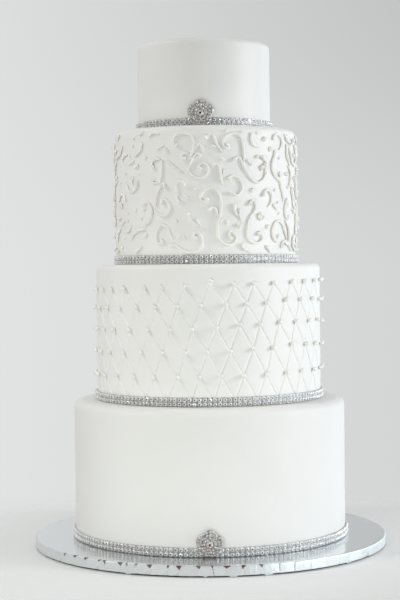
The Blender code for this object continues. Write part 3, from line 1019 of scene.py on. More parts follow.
class Quilt:
    """The wall of the quilted tier, diamond by diamond."""

    def __init__(self, tier):
        self.tier = tier
        self.settings = bpy.context.scene.cake_quilt
        self.spots = quilt_crossings()
        self.parts = list(CELL_STEPS) + [1.0 - part for part in reversed(CELL_STEPS[:-1])]
        self.bm = bmesh.new()
        self.top_line = []
        self.foot_line = []

    def corners(self, column, row):
        """Top, right, left and bottom of a diamond; the missing end of a half one is put opposite."""
        last = len(CROSSINGS)
        right = self.spots[column, row + 1]
        left = self.spots[(column - 1) % COLUMNS, row + 1]
        left = (near(left[0], right[0]), left[1])
        top = self.spots[column, row] if row >= 0 else None
        bottom = self.spots[(column - 1) % COLUMNS, row + 2] if row + 2 <= last else None
        top, bottom = ((near(end[0], right[0]), end[1]) if end else None for end in (top, bottom))
        across = (right[0] + left[0], right[1] + left[1])
        top = top or (across[0] - bottom[0], across[1] - bottom[1])
        bottom = bottom or (across[0] - top[0], across[1] - top[1])
        return top, right, left, bottom

    def widths(self, top, right, left):
        """The diamond's widths across its two families of lines, in metres."""
        scale = math.radians(self.tier.radius)
        one = Vector(((right[0] - top[0]) * scale, right[1] - top[1]))
        two = Vector(((left[0] - top[0]) * scale, left[1] - top[1]))
        area = abs(one.cross(two))
        return area / two.length, area / one.length

    def point(self, degrees, height, depth):
        return on_wall(self.tier, degrees, height, -depth)

    def diamond(self, column, row):
        top, right, left, bottom = self.corners(column, row)
        widths = self.widths(top, right, left)
        last = len(self.parts) - 1
        grid = {}
        for i, one in enumerate(self.parts):
            for j, two in enumerate(self.parts):
                if (row < 0 and i + j < last) or (row == len(CROSSINGS) - 1 and i + j > last):
                    continue
                weights = ((1 - one) * (1 - two), one * (1 - two), (1 - one) * two, one * two)
                ends = (top, right, left, bottom)
                degrees = sum(w * end[0] for w, end in zip(weights, ends))
                height = sum(w * end[1] for w, end in zip(weights, ends))
                depth = press_depth(one, two, widths, self.settings)
                grid[i, j] = self.bm.verts.new(self.point(degrees, height, depth))
                if i + j == last and i < last:
                    if row < 0:
                        self.top_line.append((degrees % 360.0, height, depth))
                    if row == len(CROSSINGS) - 1:
                        self.foot_line.append((degrees % 360.0, height, depth))
        for i in range(last):
            for j in range(last):
                around = [grid.get(spot) for spot in ((i, j), (i, j + 1), (i + 1, j + 1), (i + 1, j))]
                kept = [vertex for vertex in around if vertex]
                if len(kept) > 2:
                    self.bm.faces.new(kept)

    def rows_between(self, line, end, count):
        """Rings from a line of crossings to an even height, over which the pressing fades."""
        rings = []
        for part in [0.0, 0.03] + [0.03 + 0.97 * (step + 1) / count for step in range(count)]:
            ring = []
            for degrees, height, depth in sorted(line):
                level = height + (end - height) * part
                ring.append(self.point(degrees, level, depth if part == 0.0 else 0.0))
            rings.append(ring)
        return rings

    def turned_rows(self, line, profile):
        """Rings at the same angles as a line of crossings, along an outline."""
        rings = []
        for radius, height in profile:
            turns = [degrees for degrees, _, _ in sorted(line)] if radius > 0.0 else [0.0]
            ring = [outward(degrees) * radius for degrees in turns]
            rings.append([(spot.x + self.tier.x, spot.y, height) for spot in ring])
        return rings

    def close(self, rings):
        """Adds rings, top to bottom, to the wall."""
        mesh = skin("rings", rings, None)
        self.bm.from_mesh(mesh)
        bpy.data.meshes.remove(mesh)

    def build(self, name, material):
        tier = self.tier
        for column in range(COLUMNS):
            for row in range(-1, len(CROSSINGS)):
                self.diamond(column, row)
        wall_top = tier.top - tier.base - tier.edge
        profile = tier_profile(tier)
        over = [(radius, height) for radius, height in profile if height >= tier.base + wall_top]
        upper = self.rows_between(self.top_line, wall_top, 3)
        self.close(self.turned_rows(self.top_line, over) + upper[-2::-1])
        lower = self.rows_between(self.foot_line, 0.0, 1)
        under = [(0.6 * tier.radius, tier.base), (0.0, tier.base)]
        self.close(lower + self.turned_rows(self.foot_line, under))
        bmesh.ops.remove_doubles(self.bm, verts=self.bm.verts, dist=0.02 * MM)
        mesh = bpy.data.meshes.new(name)
        self.bm.to_mesh(mesh)
        self.bm.free()
        mesh.materials.append(material)
        return mesh


def make_quilted_tier():
    """The second tier: fondant pressed with a lattice of leaning lines."""
    tier = tiers()["quilted"]
    mesh = Quilt(tier).build("quilted_tier", fondant_finish("quilted"))
    settle(add_piece(mesh.name, mesh), "fondant", "tier_quilted")


def make_pearls():
    """A sugar pearl pressed into every crossing."""
    settings = bpy.context.scene.cake_pearls
    tier = tiers()["quilted"]
    points = []
    outwards = []
    for (_, row), (degrees, height) in sorted(quilt_crossings().items()):
        if row < len(CROSSINGS):
            points.append(on_wall(tier, degrees, height, 0.5 * settings.size * settings.proud))
            outwards.append(outward(degrees))
    ball = bmesh.new()
    bmesh.ops.create_cube(ball, size=1.0)
    bmesh.ops.subdivide_edges(ball, edges=ball.edges, cuts=2, use_grid_fill=True)
    for vertex in ball.verts:
        vertex.co = vertex.co.normalized() * 0.5 * settings.size
    mesh = bpy.data.meshes.new("pearl")
    ball.to_mesh(mesh)
    ball.free()
    carrier = points_mesh("pearl_spots", points, outwards, [1.0] * len(points))
    loose = (settings.variation, math.pi, math.pi)
    pearls = set_shapes("sugar_pearls", mesh, carrier, pearl_finish(), *loose, settings.seed, True)
    settle(pearls, "pearl")


def make_scroll_wall():
    """The third tier under its piping: plain fondant."""
    tier = tiers()["scroll"]
    sway = bpy.context.scene.cake_fondant.sway
    shape = hand_smoothed(tier, sway, tier.top)
    mesh = lathe("scroll_tier", tier_profile(tier), TIER_SIDES, fondant_finish("scroll"), tier.x, shape)
    settle(add_piece(mesh.name, mesh), "fondant", "tier_scroll")


# The piped strokes at the front of the third tier. The letters say how a stroke starts and how it ends:
# b with a fuller blob, r plainly rounded, t drawn out thin. Then come the points that the nozzle passed
# through, in degrees round the tier and millimetres above its foot.
STROKES = (
    ("bt", (-16.5, 131), (-18, 129.5), (-19.3, 135.5), (-17, 142), (-13.5, 143), (-8, 139), (-6.7, 131),
     (-7, 124), (-9, 116), (-9.8, 107.5)),
    ("bb", (-3.2, 117), (-3.6, 119.5), (-5, 120), (-8, 114), (-9.8, 106), (-9.8, 101), (-8, 96.5),
     (-4.5, 93.5), (-1, 95), (1.2, 99), (1.7, 104), (0.5, 108), (-1.5, 110), (-3.5, 108), (-4, 105),
     (-2.5, 103.5)),
    ("bt", (-1.7, 124.5), (-2, 128), (-4, 130.5), (-6, 125), (-7.5, 119)),
    ("bt", (-12.2, 116.5), (-13.2, 114.5), (-14.3, 116.5), (-13.6, 120), (-11.2, 121), (-9.5, 119),
     (-8.8, 115.5)),
    ("bt", (-0.9, 138.5), (1, 137.5), (3, 141.5), (5, 140), (6.3, 134), (6.8, 130.5), (10.6, 121)),
    ("rt", (3.9, 129.5), (7, 126.5)),
    ("bt", (12.5, 130.5), (14.2, 129), (13.3, 126.5), (11.3, 128), (10.8, 134), (13, 139.5), (17, 142),
     (20, 141), (22, 137), (23.2, 129), (23.6, 120), (23.8, 108)),
    ("bb", (17.5, 112.5), (19, 116), (20.5, 116), (23, 108), (26, 99), (29, 92.5), (33, 89), (37, 92),
     (39.3, 99), (39.3, 106), (38.2, 110)),
    ("bt", (36.4, 118), (39, 113.5), (41.5, 107)),
    ("bt", (36.4, 107.5), (36, 101.5)),
    ("rt", (29.5, 144), (28.7, 136), (30, 131), (34.8, 127)),
    ("rt", (45.9, 136.5), (47, 142), (50.5, 143.5), (54.5, 139), (54.6, 132), (52, 126)),
    ("rt", (47.9, 126), (47, 119), (45.3, 113), (45, 106), (46.5, 99), (49.5, 94.5), (52.3, 91.5),
     (53.5, 85), (55.5, 77), (56, 68)),
    ("rt", (4, 106.5), (6, 109), (8, 106.5), (8.7, 101), (9.6, 91), (10.2, 87)),
    ("bb", (14, 92.5), (16.5, 96), (20, 93.5), (22.3, 87), (22.3, 81), (20.5, 76), (18, 75), (15.5, 78)),
    ("bb", (0.7, 72), (0.4, 69), (-1.3, 67.5), (-2.9, 70.5), (-2.5, 76), (-0.3, 80.5), (3, 82.5), (6, 81),
     (8.3, 75), (9.3, 67), (9, 58), (8, 50), (7.2, 43), (6.8, 37), (7.3, 29), (9, 24.5), (12, 21),
     (15, 20.5), (17.5, 24.5), (18.2, 29), (17, 34), (15, 35.5), (13.8, 32.5), (14.5, 29), (15.5, 27)),
    ("bt", (1.8, 58), (3.5, 61), (5.5, 60), (6.7, 55), (7.6, 47.5)),
    ("rt", (13.1, 43.5), (12.5, 47.5), (10.8, 49), (9, 46.5), (7.3, 38.5)),
    ("bt", (17.2, 65), (17.5, 58), (20.5, 50)),
    ("rt", (20.3, 60.5), (20.6, 53), (21.7, 46)),
    ("bt", (20.4, 43.5), (20.6, 38)),
    ("bb", (27.8, 64.5), (28, 68), (30, 69.5), (31.6, 64.5), (30.6, 57), (27.7, 51), (26, 43), (25.3, 34),
     (26, 27.5), (29, 23), (33, 22.5), (35.8, 26), (36, 31), (34.3, 34.5), (33, 31.5)),
    ("br", (36.9, 50.5), (35.6, 49), (33.9, 51), (34, 54), (35.8, 55), (37, 53.5)),
    ("bt", (37.5, 74.5), (38.2, 79), (40.5, 81.5), (43.7, 77), (44.2, 71), (42.7, 65), (40.5, 62)),
    ("rt", (48.6, 23.5), (45.3, 28), (44.7, 36), (46.5, 44), (50, 47), (54.5, 43.5), (57, 36), (60.4, 26)),
    ("bt", (53.4, 17.5), (54.5, 23), (60.4, 26)),
    ("rt", (57.8, 22), (62, 20), (66, 13)),
    ("rt", (38.9, 19.5), (42.8, 11.5)),
    ("bt", (21.3, 21.5), (23, 17), (27.5, 12)),
    ("bt", (-22.5, 111.5), (-18, 105), (-13.2, 99.5)),
    ("br", (-32.8, 107), (-34.5, 111), (-32, 116), (-29.5, 116), (-28.3, 114.5)),
    ("rt", (-26.9, 114.5), (-27.3, 101), (-28.4, 89)),
    ("rt", (-32.6, 93), (-34.2, 92.5), (-33.6, 90), (-31.6, 89.5), (-29.5, 88.5)),
    ("bt", (-25, 84.5), (-25.5, 88.5), (-27.5, 87.5), (-29, 83.5), (-30.7, 76), (-31.7, 63)),
    ("bt", (-26.3, 66), (-27, 69), (-25, 70.5), (-22.8, 67.5), (-21.8, 62), (-23, 57), (-25.5, 54),
     (-28, 54), (-31, 56.5), (-33.3, 62)),
    ("bt", (-26.3, 26), (-28.8, 22.5), (-31.2, 26.5), (-31.4, 34), (-29.3, 41), (-26.7, 43), (-24, 40.5),
     (-22.5, 35), (-20.5, 27)),
    ("rb", (-23.2, 19.5), (-20.5, 21), (-17, 18.5), (-13, 14), (-9, 12.5), (-5, 14.5), (-2.5, 19.5),
     (-2, 26), (-3.5, 32.5), (-6, 34.5), (-7.4, 32), (-7, 29), (-5.8, 28)),
    ("bt", (-10.8, 56), (-9.5, 49), (-6, 43), (-2, 39), (0, 37.5)),
    ("rt", (-5, 49.5), (-4.5, 45), (-2, 40.5), (-0.5, 38.5)),
    ("bt", (-12.8, 86), (-13.3, 89.5), (-15.3, 90.5), (-17.3, 86.5), (-17.6, 79), (-17.3, 72),
     (-15.5, 67.5), (-12.6, 67)),
    ("rt", (-12.8, 74), (-9.5, 73)),
    ("rt", (-30.8, 127), (-25.9, 131.5)),
    ("bt", (-25.2, 126.5), (-22.9, 124.5)),
    ("tt", (-17.4, 28), (-15, 33), (-12.4, 27)),
    ("rt", (-41.6, 135), (-43.5, 127), (-48.9, 119.5)),
    ("rt", (-49.2, 116), (-55.6, 111.5)),
    ("rr", (-57, 90), (-55, 83), (-51.5, 81.5), (-47, 86), (-46.4, 94.5)),
    ("bt", (-51.8, 91.5), (-50.4, 98)),
    ("rt", (-41.3, 66), (-38.5, 69), (-35.5, 65), (-34.4, 58.5), (-36.5, 49), (-41.2, 42)),
    ("rt", (-40, 39), (-45, 38.5), (-49, 35.5), (-53.6, 27)),
    ("rt", (-37, 141), (-33, 144.5), (-28.3, 143)),
    ("rt", (-44.2, 144), (-40.5, 147.5)),
    ("rt", (-48.6, 13.5), (-42.6, 20)),
    ("rt", (-41.2, 30.5), (-38.3, 34.5)),
    ("rt", (-42.3, 60.5), (-39.3, 62.5)),
    ("rt", (-59.5, 37), (-55.5, 38.5), (-52.4, 44.5)),
    ("rt", (-49.3, 108), (-46, 109), (-46.2, 112.5)),
    ("rt", (60.8, 133.5), (61.3, 121), (65.8, 109.5)),
    ("rt", (60.4, 72.5), (58, 63), (58.2, 54), (62, 48)),
    ("rt", (45.6, 66.5), (49.3, 58.5)),
    ("rt", (25, 113.5), (26.6, 112.5), (28.6, 107)),
    ("rt", (51.9, 102), (52.3, 98), (55.5, 97.5)),
    ("tt", (21, 144.5), (24, 143.5)),
    ("rt", (11.3, 103), (10.5, 97)),
)

# Dots of icing between the strokes: degrees, millimetres above the foot, and millimetres across.
DOTS = (
    (33.6, 143.5, 2.2), (38.6, 137, 3.4), (43.6, 126.5, 3), (32.8, 117.2, 2.4), (28.6, 109.5, 2.6),
    (52.2, 117.1, 2), (61.5, 99.9, 2.6), (62.5, 85.4, 2.6), (61, 142.4, 2.2), (29.2, 80.5, 3),
    (50.4, 29.9, 2.6), (40.6, 40.5, 2.8), (47.3, 81.4, 2), (64.4, 51.9, 2), (50.3, 67.4, 1.8),
    (51.3, 55.4, 1.8), (10.6, 114.3, 2.4), (-6.6, 82.2, 1.8), (-18, 47.1, 2.2), (-39.4, 117.5, 2.2),
    (-50.8, 132.5, 2), (-54, 121.5, 2), (-49.5, 140.7, 2), (-48.7, 60.5, 2.4), (-43.3, 51.5, 2),
    (-57, 57.7, 1.8), (-57, 49.5, 1.8), (-44.5, 101.3, 1.6), (12.8, 144.9, 2),
)
PIPED_SECTOR = 120.0
BACK_TURN = 4.0
SECTOR_LIFTS = (0.0, 6.0, 9.0)
LOWEST_STROKE = 12 * MM
LOWEST_DOT = 13 * MM
TOP_MARGIN = 4 * MM
PIPED_STEP = 1.1 * MM
CLEARANCE = 3.2 * MM


def smooth_path(points, step):
    """A centripetal Catmull-Rom curve through flat points, as points about a step apart."""
    ends = [2.0 * points[0] - points[1]] + list(points) + [2.0 * points[-1] - points[-2]]
    path = [points[0]]
    for p0, p1, p2, p3 in zip(ends, ends[1:], ends[2:], ends[3:]):
        t1 = math.sqrt((p1 - p0).length)
        t2 = t1 + math.sqrt((p2 - p1).length)
        t3 = t2 + math.sqrt((p3 - p2).length)
        pieces = max(2, math.ceil((p2 - p1).length / step))
        for piece in range(1, pieces + 1):
            t = t1 + (t2 - t1) * piece / pieces
            a1 = p0.lerp(p1, t / t1)
            a2 = p1.lerp(p2, (t - t1) / (t2 - t1))
            a3 = p2.lerp(p3, (t - t2) / (t3 - t2))
            b1 = a1.lerp(a2, t / t2)
            b2 = a2.lerp(a3, (t - t1) / (t3 - t1))
            path.append(b1.lerp(b2, (t - t1) / (t2 - t1)))
    return path


def rounded_ends(path, radius):
    """The path with a few more points near both ends, where the bead is rounded off."""
    for _ in range(2):
        first = path[1] - path[0]
        reach = min(first.length, radius)
        path[1:1] = [path[0] + first.normalized() * reach * part for part in (0.08, 0.3, 0.62)]
        path.reverse()
    return path


def bead_along(path, style, settings):
    """The bead's radius at each point of a path."""
    far = [0.0]
    for one, other in zip(path, path[1:]):
        far.append(far[-1] + (other - one).length)
    whole = far[-1]
    beads = []
    for s in far:
        bead = settings.bead
        for letter, away in zip(style, (s, whole - s)):
            if letter == "b":
                bead *= 1.0 + settings.bulb * math.exp(-((away / (2.6 * MM)) ** 2))
            elif letter == "t":
                bead *= settings.tail + (1.0 - settings.tail) * min(1.0, away / min(8 * MM, 0.6 * whole))
        away = min(s, whole - s) / settings.bead
        if away < 1.0:
            bead *= math.sqrt(max(0.03, 1.0 - (1.0 - away) ** 2))
        beads.append(bead)
    return beads


def piped_strokes(tier):
    """Every stroke round the tier, as (style, points), with points as metres round and above the foot.
    The back repeats the front's strokes turned over, and leaves out those that would touch others."""
    height = tier.top - tier.base
    arc = math.radians(tier.radius)
    strokes = []
    taken = []
    for sector in range(3):
        placed = []
        for style, *points in STROKES:
            if sector:
                turn = sector * PIPED_SECTOR + BACK_TURN
                points = [(turn - degrees, height / MM - level) for degrees, level in points]
                points = [(degrees, level + SECTOR_LIFTS[sector]) for degrees, level in points]
            flat = [Vector((degrees * arc, level * MM)) for degrees, level in points]
            path = smooth_path(flat, PIPED_STEP)
            low = min(spot.y for spot in path)
            high = max(spot.y for spot in path)
            fits = low >= LOWEST_STROKE and high <= height - TOP_MARGIN
            if sector and not (fits and clear_of(path, taken, arc)):
                continue
            placed.append((style, path))
        strokes += placed
        taken += [spot for _, path in placed for spot in path]
    return strokes, taken


def clear_of(path, taken, arc):
    """Whether a path keeps its clearance from the points that are taken, round the seam as well."""
    around = 360.0 * arc
    tree = KDTree(3 * len(taken))
    for index, spot in enumerate(taken):
        for turn in (-1, 0, 1):
            tree.insert((spot.x + turn * around, spot.y, 0.0), 3 * index + turn + 1)
    tree.balance()
    return all(tree.find((spot.x, spot.y, 0.0))[2] > CLEARANCE for spot in path)


def make_piping():
    """The scrolls, hooks and dots of royal icing on the third tier."""
    settings = bpy.context.scene.cake_piping
    tier = tiers()["scroll"]
    arc = math.radians(tier.radius)
    icing = icing_finish()
    strokes, taken = piped_strokes(tier)
    points = []
    edges = []
    beads = []
    for style, path in strokes:
        path = rounded_ends(path, settings.bead)
        start = len(points)
        for spot, bead in zip(path, bead_along(path, style, settings)):
            points.append(on_wall(tier, spot.x / arc, spot.y, settings.proud * bead))
            beads.append(bead)
        edges += [(index, index + 1) for index in range(start, len(points) - 1)]
    lines = bpy.data.meshes.new("piped_lines")
    lines.from_pydata(points, edges, [])
    lines.attributes.new("bead", "FLOAT", "POINT").data.foreach_set("value", beads)
    mesh = piping_recipe().make(
        "piped_scrolls",
        lines,
        Sides=12,
        Unevenness=settings.unevenness,
        Swell_Length=5 * MM,
        Seed=settings.seed,
        Material=icing,
    )
    settle(add_piece("piped_scrolls", mesh), "icing")

    spots = []
    outwards = []
    sizes = []
    for sector in range(3):
        for degrees, level, across in DOTS:
            level *= MM
            if sector:
                degrees = sector * PIPED_SECTOR + BACK_TURN - degrees
                level = tier.top - tier.base - level
                if level < LOWEST_DOT or not clear_of([Vector((degrees * arc, level))], taken, arc):
                    continue
            spots.append(on_wall(tier, degrees, level))
            outwards.append(outward(degrees))
            sizes.append(across * settings.dots * MM)
    outline = [(0.0, 0.6), (0.16, 0.57), (0.31, 0.47), (0.43, 0.3), (0.5, 0.08), (0.47, -0.12), (0.0, -0.12)]
    drop = turned_shape("drop", outline, 12)
    carrier = points_mesh("dot_spots", spots, outwards, sizes)
    dots = set_shapes("piped_dots", drop, carrier, icing, 0.1, 0.12, math.pi, settings.seed, True)
    settle(dots, "icing")


# ---------------------------------------------------------------- rhinestones

BAND_GAP = 0.3 * MM
# Colour ramps of the stones by their painted reflection: the dark end stands in for the dim room reflected,
# and the bright end for reflected light. The centre stone's dark red and the rosy tints are the stones' own
# colours.
RIBBON_STOPS = (
    (0.0, (0.03, 0.03, 0.03)),
    (0.2, (0.12, 0.12, 0.12)),
    (0.3, (0.85, 0.85, 0.85)),
    (1.0, (1.0, 1.0, 1.0)),
)
CLEAR_STOPS = (
    (0.0, (0.06, 0.06, 0.07)),
    (0.25, (0.4, 0.39, 0.38)),
    (0.5, (0.88, 0.89, 0.9)),
    (1.0, (1.0, 1.0, 1.0)),
)
ROSY_STOPS = (
    (0.0, (0.1, 0.03, 0.03)),
    (0.3, (0.5, 0.26, 0.2)),
    (0.7, (0.85, 0.66, 0.6)),
    (1.0, (1.0, 0.94, 0.9)),
)
CENTRE_STOPS = (
    (0.0, (0.06, 0.005, 0.012)),
    (0.3, (0.16, 0.03, 0.04)),
    (0.45, (0.7, 0.62, 0.62)),
    (1.0, (0.95, 0.92, 0.92)),
)


def cup_shape(name, radius, depth, sides):
    """A cup that holds a stone: a turned bezel whose lip curls in over the stone."""
    outline = ((0.0, 0.45), (0.63, 0.48), (0.72, 0.77), (0.88, 0.7), (1.0, 0.25), (0.96, 0.0), (0.0, 0.0))
    return turned_shape(name, [(radius * r, depth * z) for r, z in outline], sides)


def cut_stone(name, radius, girdle, top, sides=8):
    """A cut stone: a faceted crown from its girdle up to its flat table, and a hidden blunt back. The
    table's facets are marked."""
    rise = top - girdle
    rings = []
    for share_out, level, twist in ((0.0, 1.0, 0.0), (0.48, 1.0, 0.5), (0.8, 0.7, 0.0), (1.0, 0.0, 0.5)):
        turns = [math.tau * (side + twist) / sides for side in range(sides if share_out else 1)]
        spots = [Vector((math.cos(turn), math.sin(turn), 0.0)) * radius * share_out for turn in turns]
        rings.append([spot + UP * (girdle + rise * level) for spot in spots])
    rings.append([(0.0, 0.0, girdle - 0.4 * rise)])
    mesh = skin(name, rings, None)
    marks = [float(index < sides) for index in range(len(mesh.polygons))]
    mesh.attributes.new("table", "FLOAT", "FACE").data.foreach_set("value", marks)
    return mesh


def ribbon_spots(tier, radius, middle, settings):
    """The stones' places on a ribbon whose back has this radius, row above row."""
    stones = round(math.tau * (radius + 1.5 * MM) / settings.pitch)
    points = []
    outwards = []
    for row in range(settings.rows):
        height = middle + settings.row_gap * (row - 0.5 * (settings.rows - 1))
        for step in range(stones):
            away = outward(360.0 * step / stones)
            points.append((tier.x + radius * away.x, radius * away.y, height))
            outwards.append(away)
    return points_mesh("ribbon_spots", points, outwards, [1.0] * len(points))


def make_bands():
    """The same two-row rhinestone ribbon round the foot of every tier: mesh, cups and stones."""
    settings = bpy.context.scene.cake_ribbon
    backing = silver_finish("ribbon_mesh", settings.backing_colour, 0.5, 1.5 * MM, metal=0.4)
    cups = silver_finish("ribbon_cups", settings.cup_colour, 0.25, 3.0 * MM, metal=0.3)
    stones = stone_finish("ribbon_stones", RIBBON_STOPS, metal=0.2)
    for name, tier in tiers().items():
        low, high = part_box("band_" + name)
        height = high.z - low.z
        radius = tier.radius + BAND_GAP
        proud = 0.9 * MM
        profile = [
            (radius, high.z),
            (radius + 0.6 * proud, high.z - 0.1 * MM),
            (radius + proud, high.z - 0.5 * MM),
            (radius + proud, low.z + 0.5 * height),
            (radius + proud, low.z + 0.5 * MM),
            (radius + 0.6 * proud, low.z),
            (radius, low.z),
        ]
        mesh = lathe(f"band_{name}_backing", profile, TIER_SIDES, backing, tier.x, tube=True)
        settle(add_piece(mesh.name, mesh), "rhinestone", "band_" + name)
        carrier = ribbon_spots(tier, radius, low.z + 0.5 * height, settings)
        loose = (0.02, settings.lean, math.pi, settings.seed)
        cup = cup_shape("cup", settings.cup, 2.9 * MM, 10)
        settle(set_shapes(f"band_{name}_cups", cup, carrier, cups, *loose, True), "rhinestone")
        stone = cut_stone("stone", 0.78 * settings.cup, 1.4 * MM, 2.85 * MM)
        settle(set_shapes(f"band_{name}_stones", stone, carrier, stones, *loose), "rhinestone")


# ---------------------------------------------------------------- the brooches

BROOCH_REACH = 14.9 * MM


def flower_edge(turn, settings):
    """The flower's radius at an angle from a petal's tip, in metres: broad petals with narrow notches."""
    across = abs(math.cos(0.5 * settings.petals * turn))
    return BROOCH_REACH * (0.96 + 0.04 * across**8 - settings.notch * (1.0 - across) ** 4)


def flower_level(share_out, turn, settings):
    """How high the flower's domed face stands off its back, which dips between the petals."""
    dip = (1.0 - abs(math.cos(0.5 * settings.petals * turn))) ** 2
    return (1.5 + 1.5 * (1.0 - share_out**2) - 0.9 * dip * share_out) * MM


def flower_place(tier, low, degrees, settings):
    """Where a brooch stands: pinned over the band, the edges of its lower petals just off what is below."""
    spot = on_wall(tier, degrees, 0.0, BAND_CREST + BAND_GAP)
    turn = Matrix.Rotation(math.radians(degrees), 4, "Z") @ Matrix.Rotation(math.radians(90.0), 4, "X")
    return Matrix.Translation((spot.x, spot.y, low + settings.rise)) @ turn


def flower_setting(name, settings, material):
    """The silver flower under the stones: a dome with a dip between its petals."""
    sides = 24 * settings.petals
    rings = [[(0.0, 0.0, 3.0 * MM)]]
    for share_out in (0.2, 0.4, 0.52, 0.64, 0.76, 0.88, 0.96, 1.0, 0.98):
        ring = []
        for side in range(sides):
            turn = math.tau * side / sides
            reach = flower_edge(turn, settings) * share_out
            level = flower_level(share_out, turn, settings)
            level -= 0.4 * MM if share_out == 1.0 else 0.0
            ring.append((-reach * math.sin(turn), reach * math.cos(turn), level))
        rings.append(ring)
    rings[-1] = [(x, y, 0.0) for x, y, _ in rings[-1]]
    rings.append([(0.0, 0.0, 0.0)])
    return skin(name, rings, material)


def flower_stones(settings):
    """The small stones on a flower, ring by ring, as (place, outward, size), lengths in metres."""
    chance = random.Random(settings.seed)
    stones = []
    for count_round, middle, size in ((25, 0.9, 1.5), (19, 0.67, 1.5), (12, 0.43, 1.5)):
        for step in range(count_round):
            turn = math.tau * (step + chance.uniform(-0.22, 0.22)) / count_round
            share_out = middle + chance.uniform(-0.04, 0.04)
            reach = flower_edge(turn, settings) * share_out
            away = Vector((-math.sin(turn), math.cos(turn), 0.0))
            level = flower_level(share_out, turn, settings) - 0.25 * MM
            across = size * chance.uniform(0.88, 1.12) * MM
            stones.append((away * reach + UP * level, UP + away * 0.5 * share_out, across))
    return stones


def make_brooches():
    """The two flower brooches: a silver setting, its small stones, and the large stone in the middle."""
    settings = bpy.context.scene.cake_brooch
    silver = silver_finish("brooch_silver", settings.colour, 0.3, 4.0 * MM, metal=0.6)
    bright = silver_finish("brooch_cups", settings.cup_colour, 0.25, 2.0 * MM, metal=0.3)
    small = stone_finish("brooch_stones", CLEAR_STOPS, metal=0.25, rosy=ROSY_STOPS)
    large = stone_finish("brooch_centre", CENTRE_STOPS, metal=0.3)
    for name, degrees in (("bottom", settings.bottom_turn), ("top", settings.top_turn)):
        low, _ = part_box("brooch_" + name)
        place = flower_place(tiers()[name], low.z, math.degrees(degrees), settings)
        mesh = flower_setting(f"brooch_{name}_setting", settings, silver)
        mesh.transform(place)
        settle(add_piece(mesh.name, mesh), "brooch", "brooch_" + name)
        stones = flower_stones(settings)
        outwards = [place.to_3x3() @ facing.normalized() for _, facing, _ in stones]
        points = [place @ spot for spot, _, _ in stones]
        sizes = [size for _, _, size in stones]
        hub = [place @ Vector((0.0, 0.0, 2.2 * MM))]
        ahead = [place.to_3x3() @ UP]
        loose = (0.0, 0.12, math.pi, settings.seed)
        hub_size = 1.35 * settings.centre_stone
        carrier = points_mesh("cup_spots", points + hub, outwards + ahead, sizes + [hub_size])
        cup = cup_shape("small_cup", 1.0, 0.9, 10)
        settle(set_shapes(f"brooch_{name}_cups", cup, carrier, bright, *loose, True), "brooch")
        carrier = points_mesh("stone_spots", points, outwards, sizes)
        stone = cut_stone("small_stone", 0.8, 0.4, 1.1)
        settle(set_shapes(f"brooch_{name}_stones", stone, carrier, small, *loose), "brooch")
        carrier = points_mesh("centre_spot", hub, ahead, [1.0])
        stone = cut_stone("centre_stone", settings.centre_stone, 2.0 * MM, 3.6 * MM, 12)
        tight = (0.0, 0.0, 0.1, settings.seed + 1)
        settle(set_shapes(f"brooch_{name}_centre", stone, carrier, large, *tight), "brooch")


# ---------------------------------------------------------------- the stage


# The soft lights: degrees round from the front, elevation, distance, height that they face, and width.
LIGHTS = {
    "left": (-70.0, 40.0, 2.8, 0.15, 0.5),
    "front": (-10.0, 0.0, 0.95, 0.06, 0.8),
    "right": (78.0, 14.0, 1.6, 0.25, 0.28),
    "right_front": (58.0, 8.0, 1.4, 0.2, 0.6),
    "top": (0.0, 80.0, 1.6, 0.3, 1.4),
}
CAMERA_PLACE = (-8.9 * MM, -1.7188, 0.324)
CAMERA_TURNS = ((0.02, "Z"), (88.6, "X"), (-0.64, "Z"))
LENS = 88.6


def soft_light(name, power, tint):
    """A soft square light that faces the cake. Metal and stones don't reflect the front one."""
    degrees, elevation, distance, height, width = LIGHTS[name]
    rise = math.radians(elevation)
    away = outward(degrees) * math.cos(rise) + UP * math.sin(rise)
    lamp = bpy.data.lights.new(name + "_light", "AREA")
    lamp.shape = "SQUARE"
    lamp.size = width
    lamp.energy = power
    lamp.color = tint
    obj = bpy.data.objects.new(lamp.name, lamp)
    obj.location = away * distance + UP * height
    obj.rotation_euler = away.to_track_quat("Z", "Y").to_euler()
    obj.visible_camera = False
    obj.visible_glossy = name != "front"
    bpy.context.scene.collection.objects.link(obj)


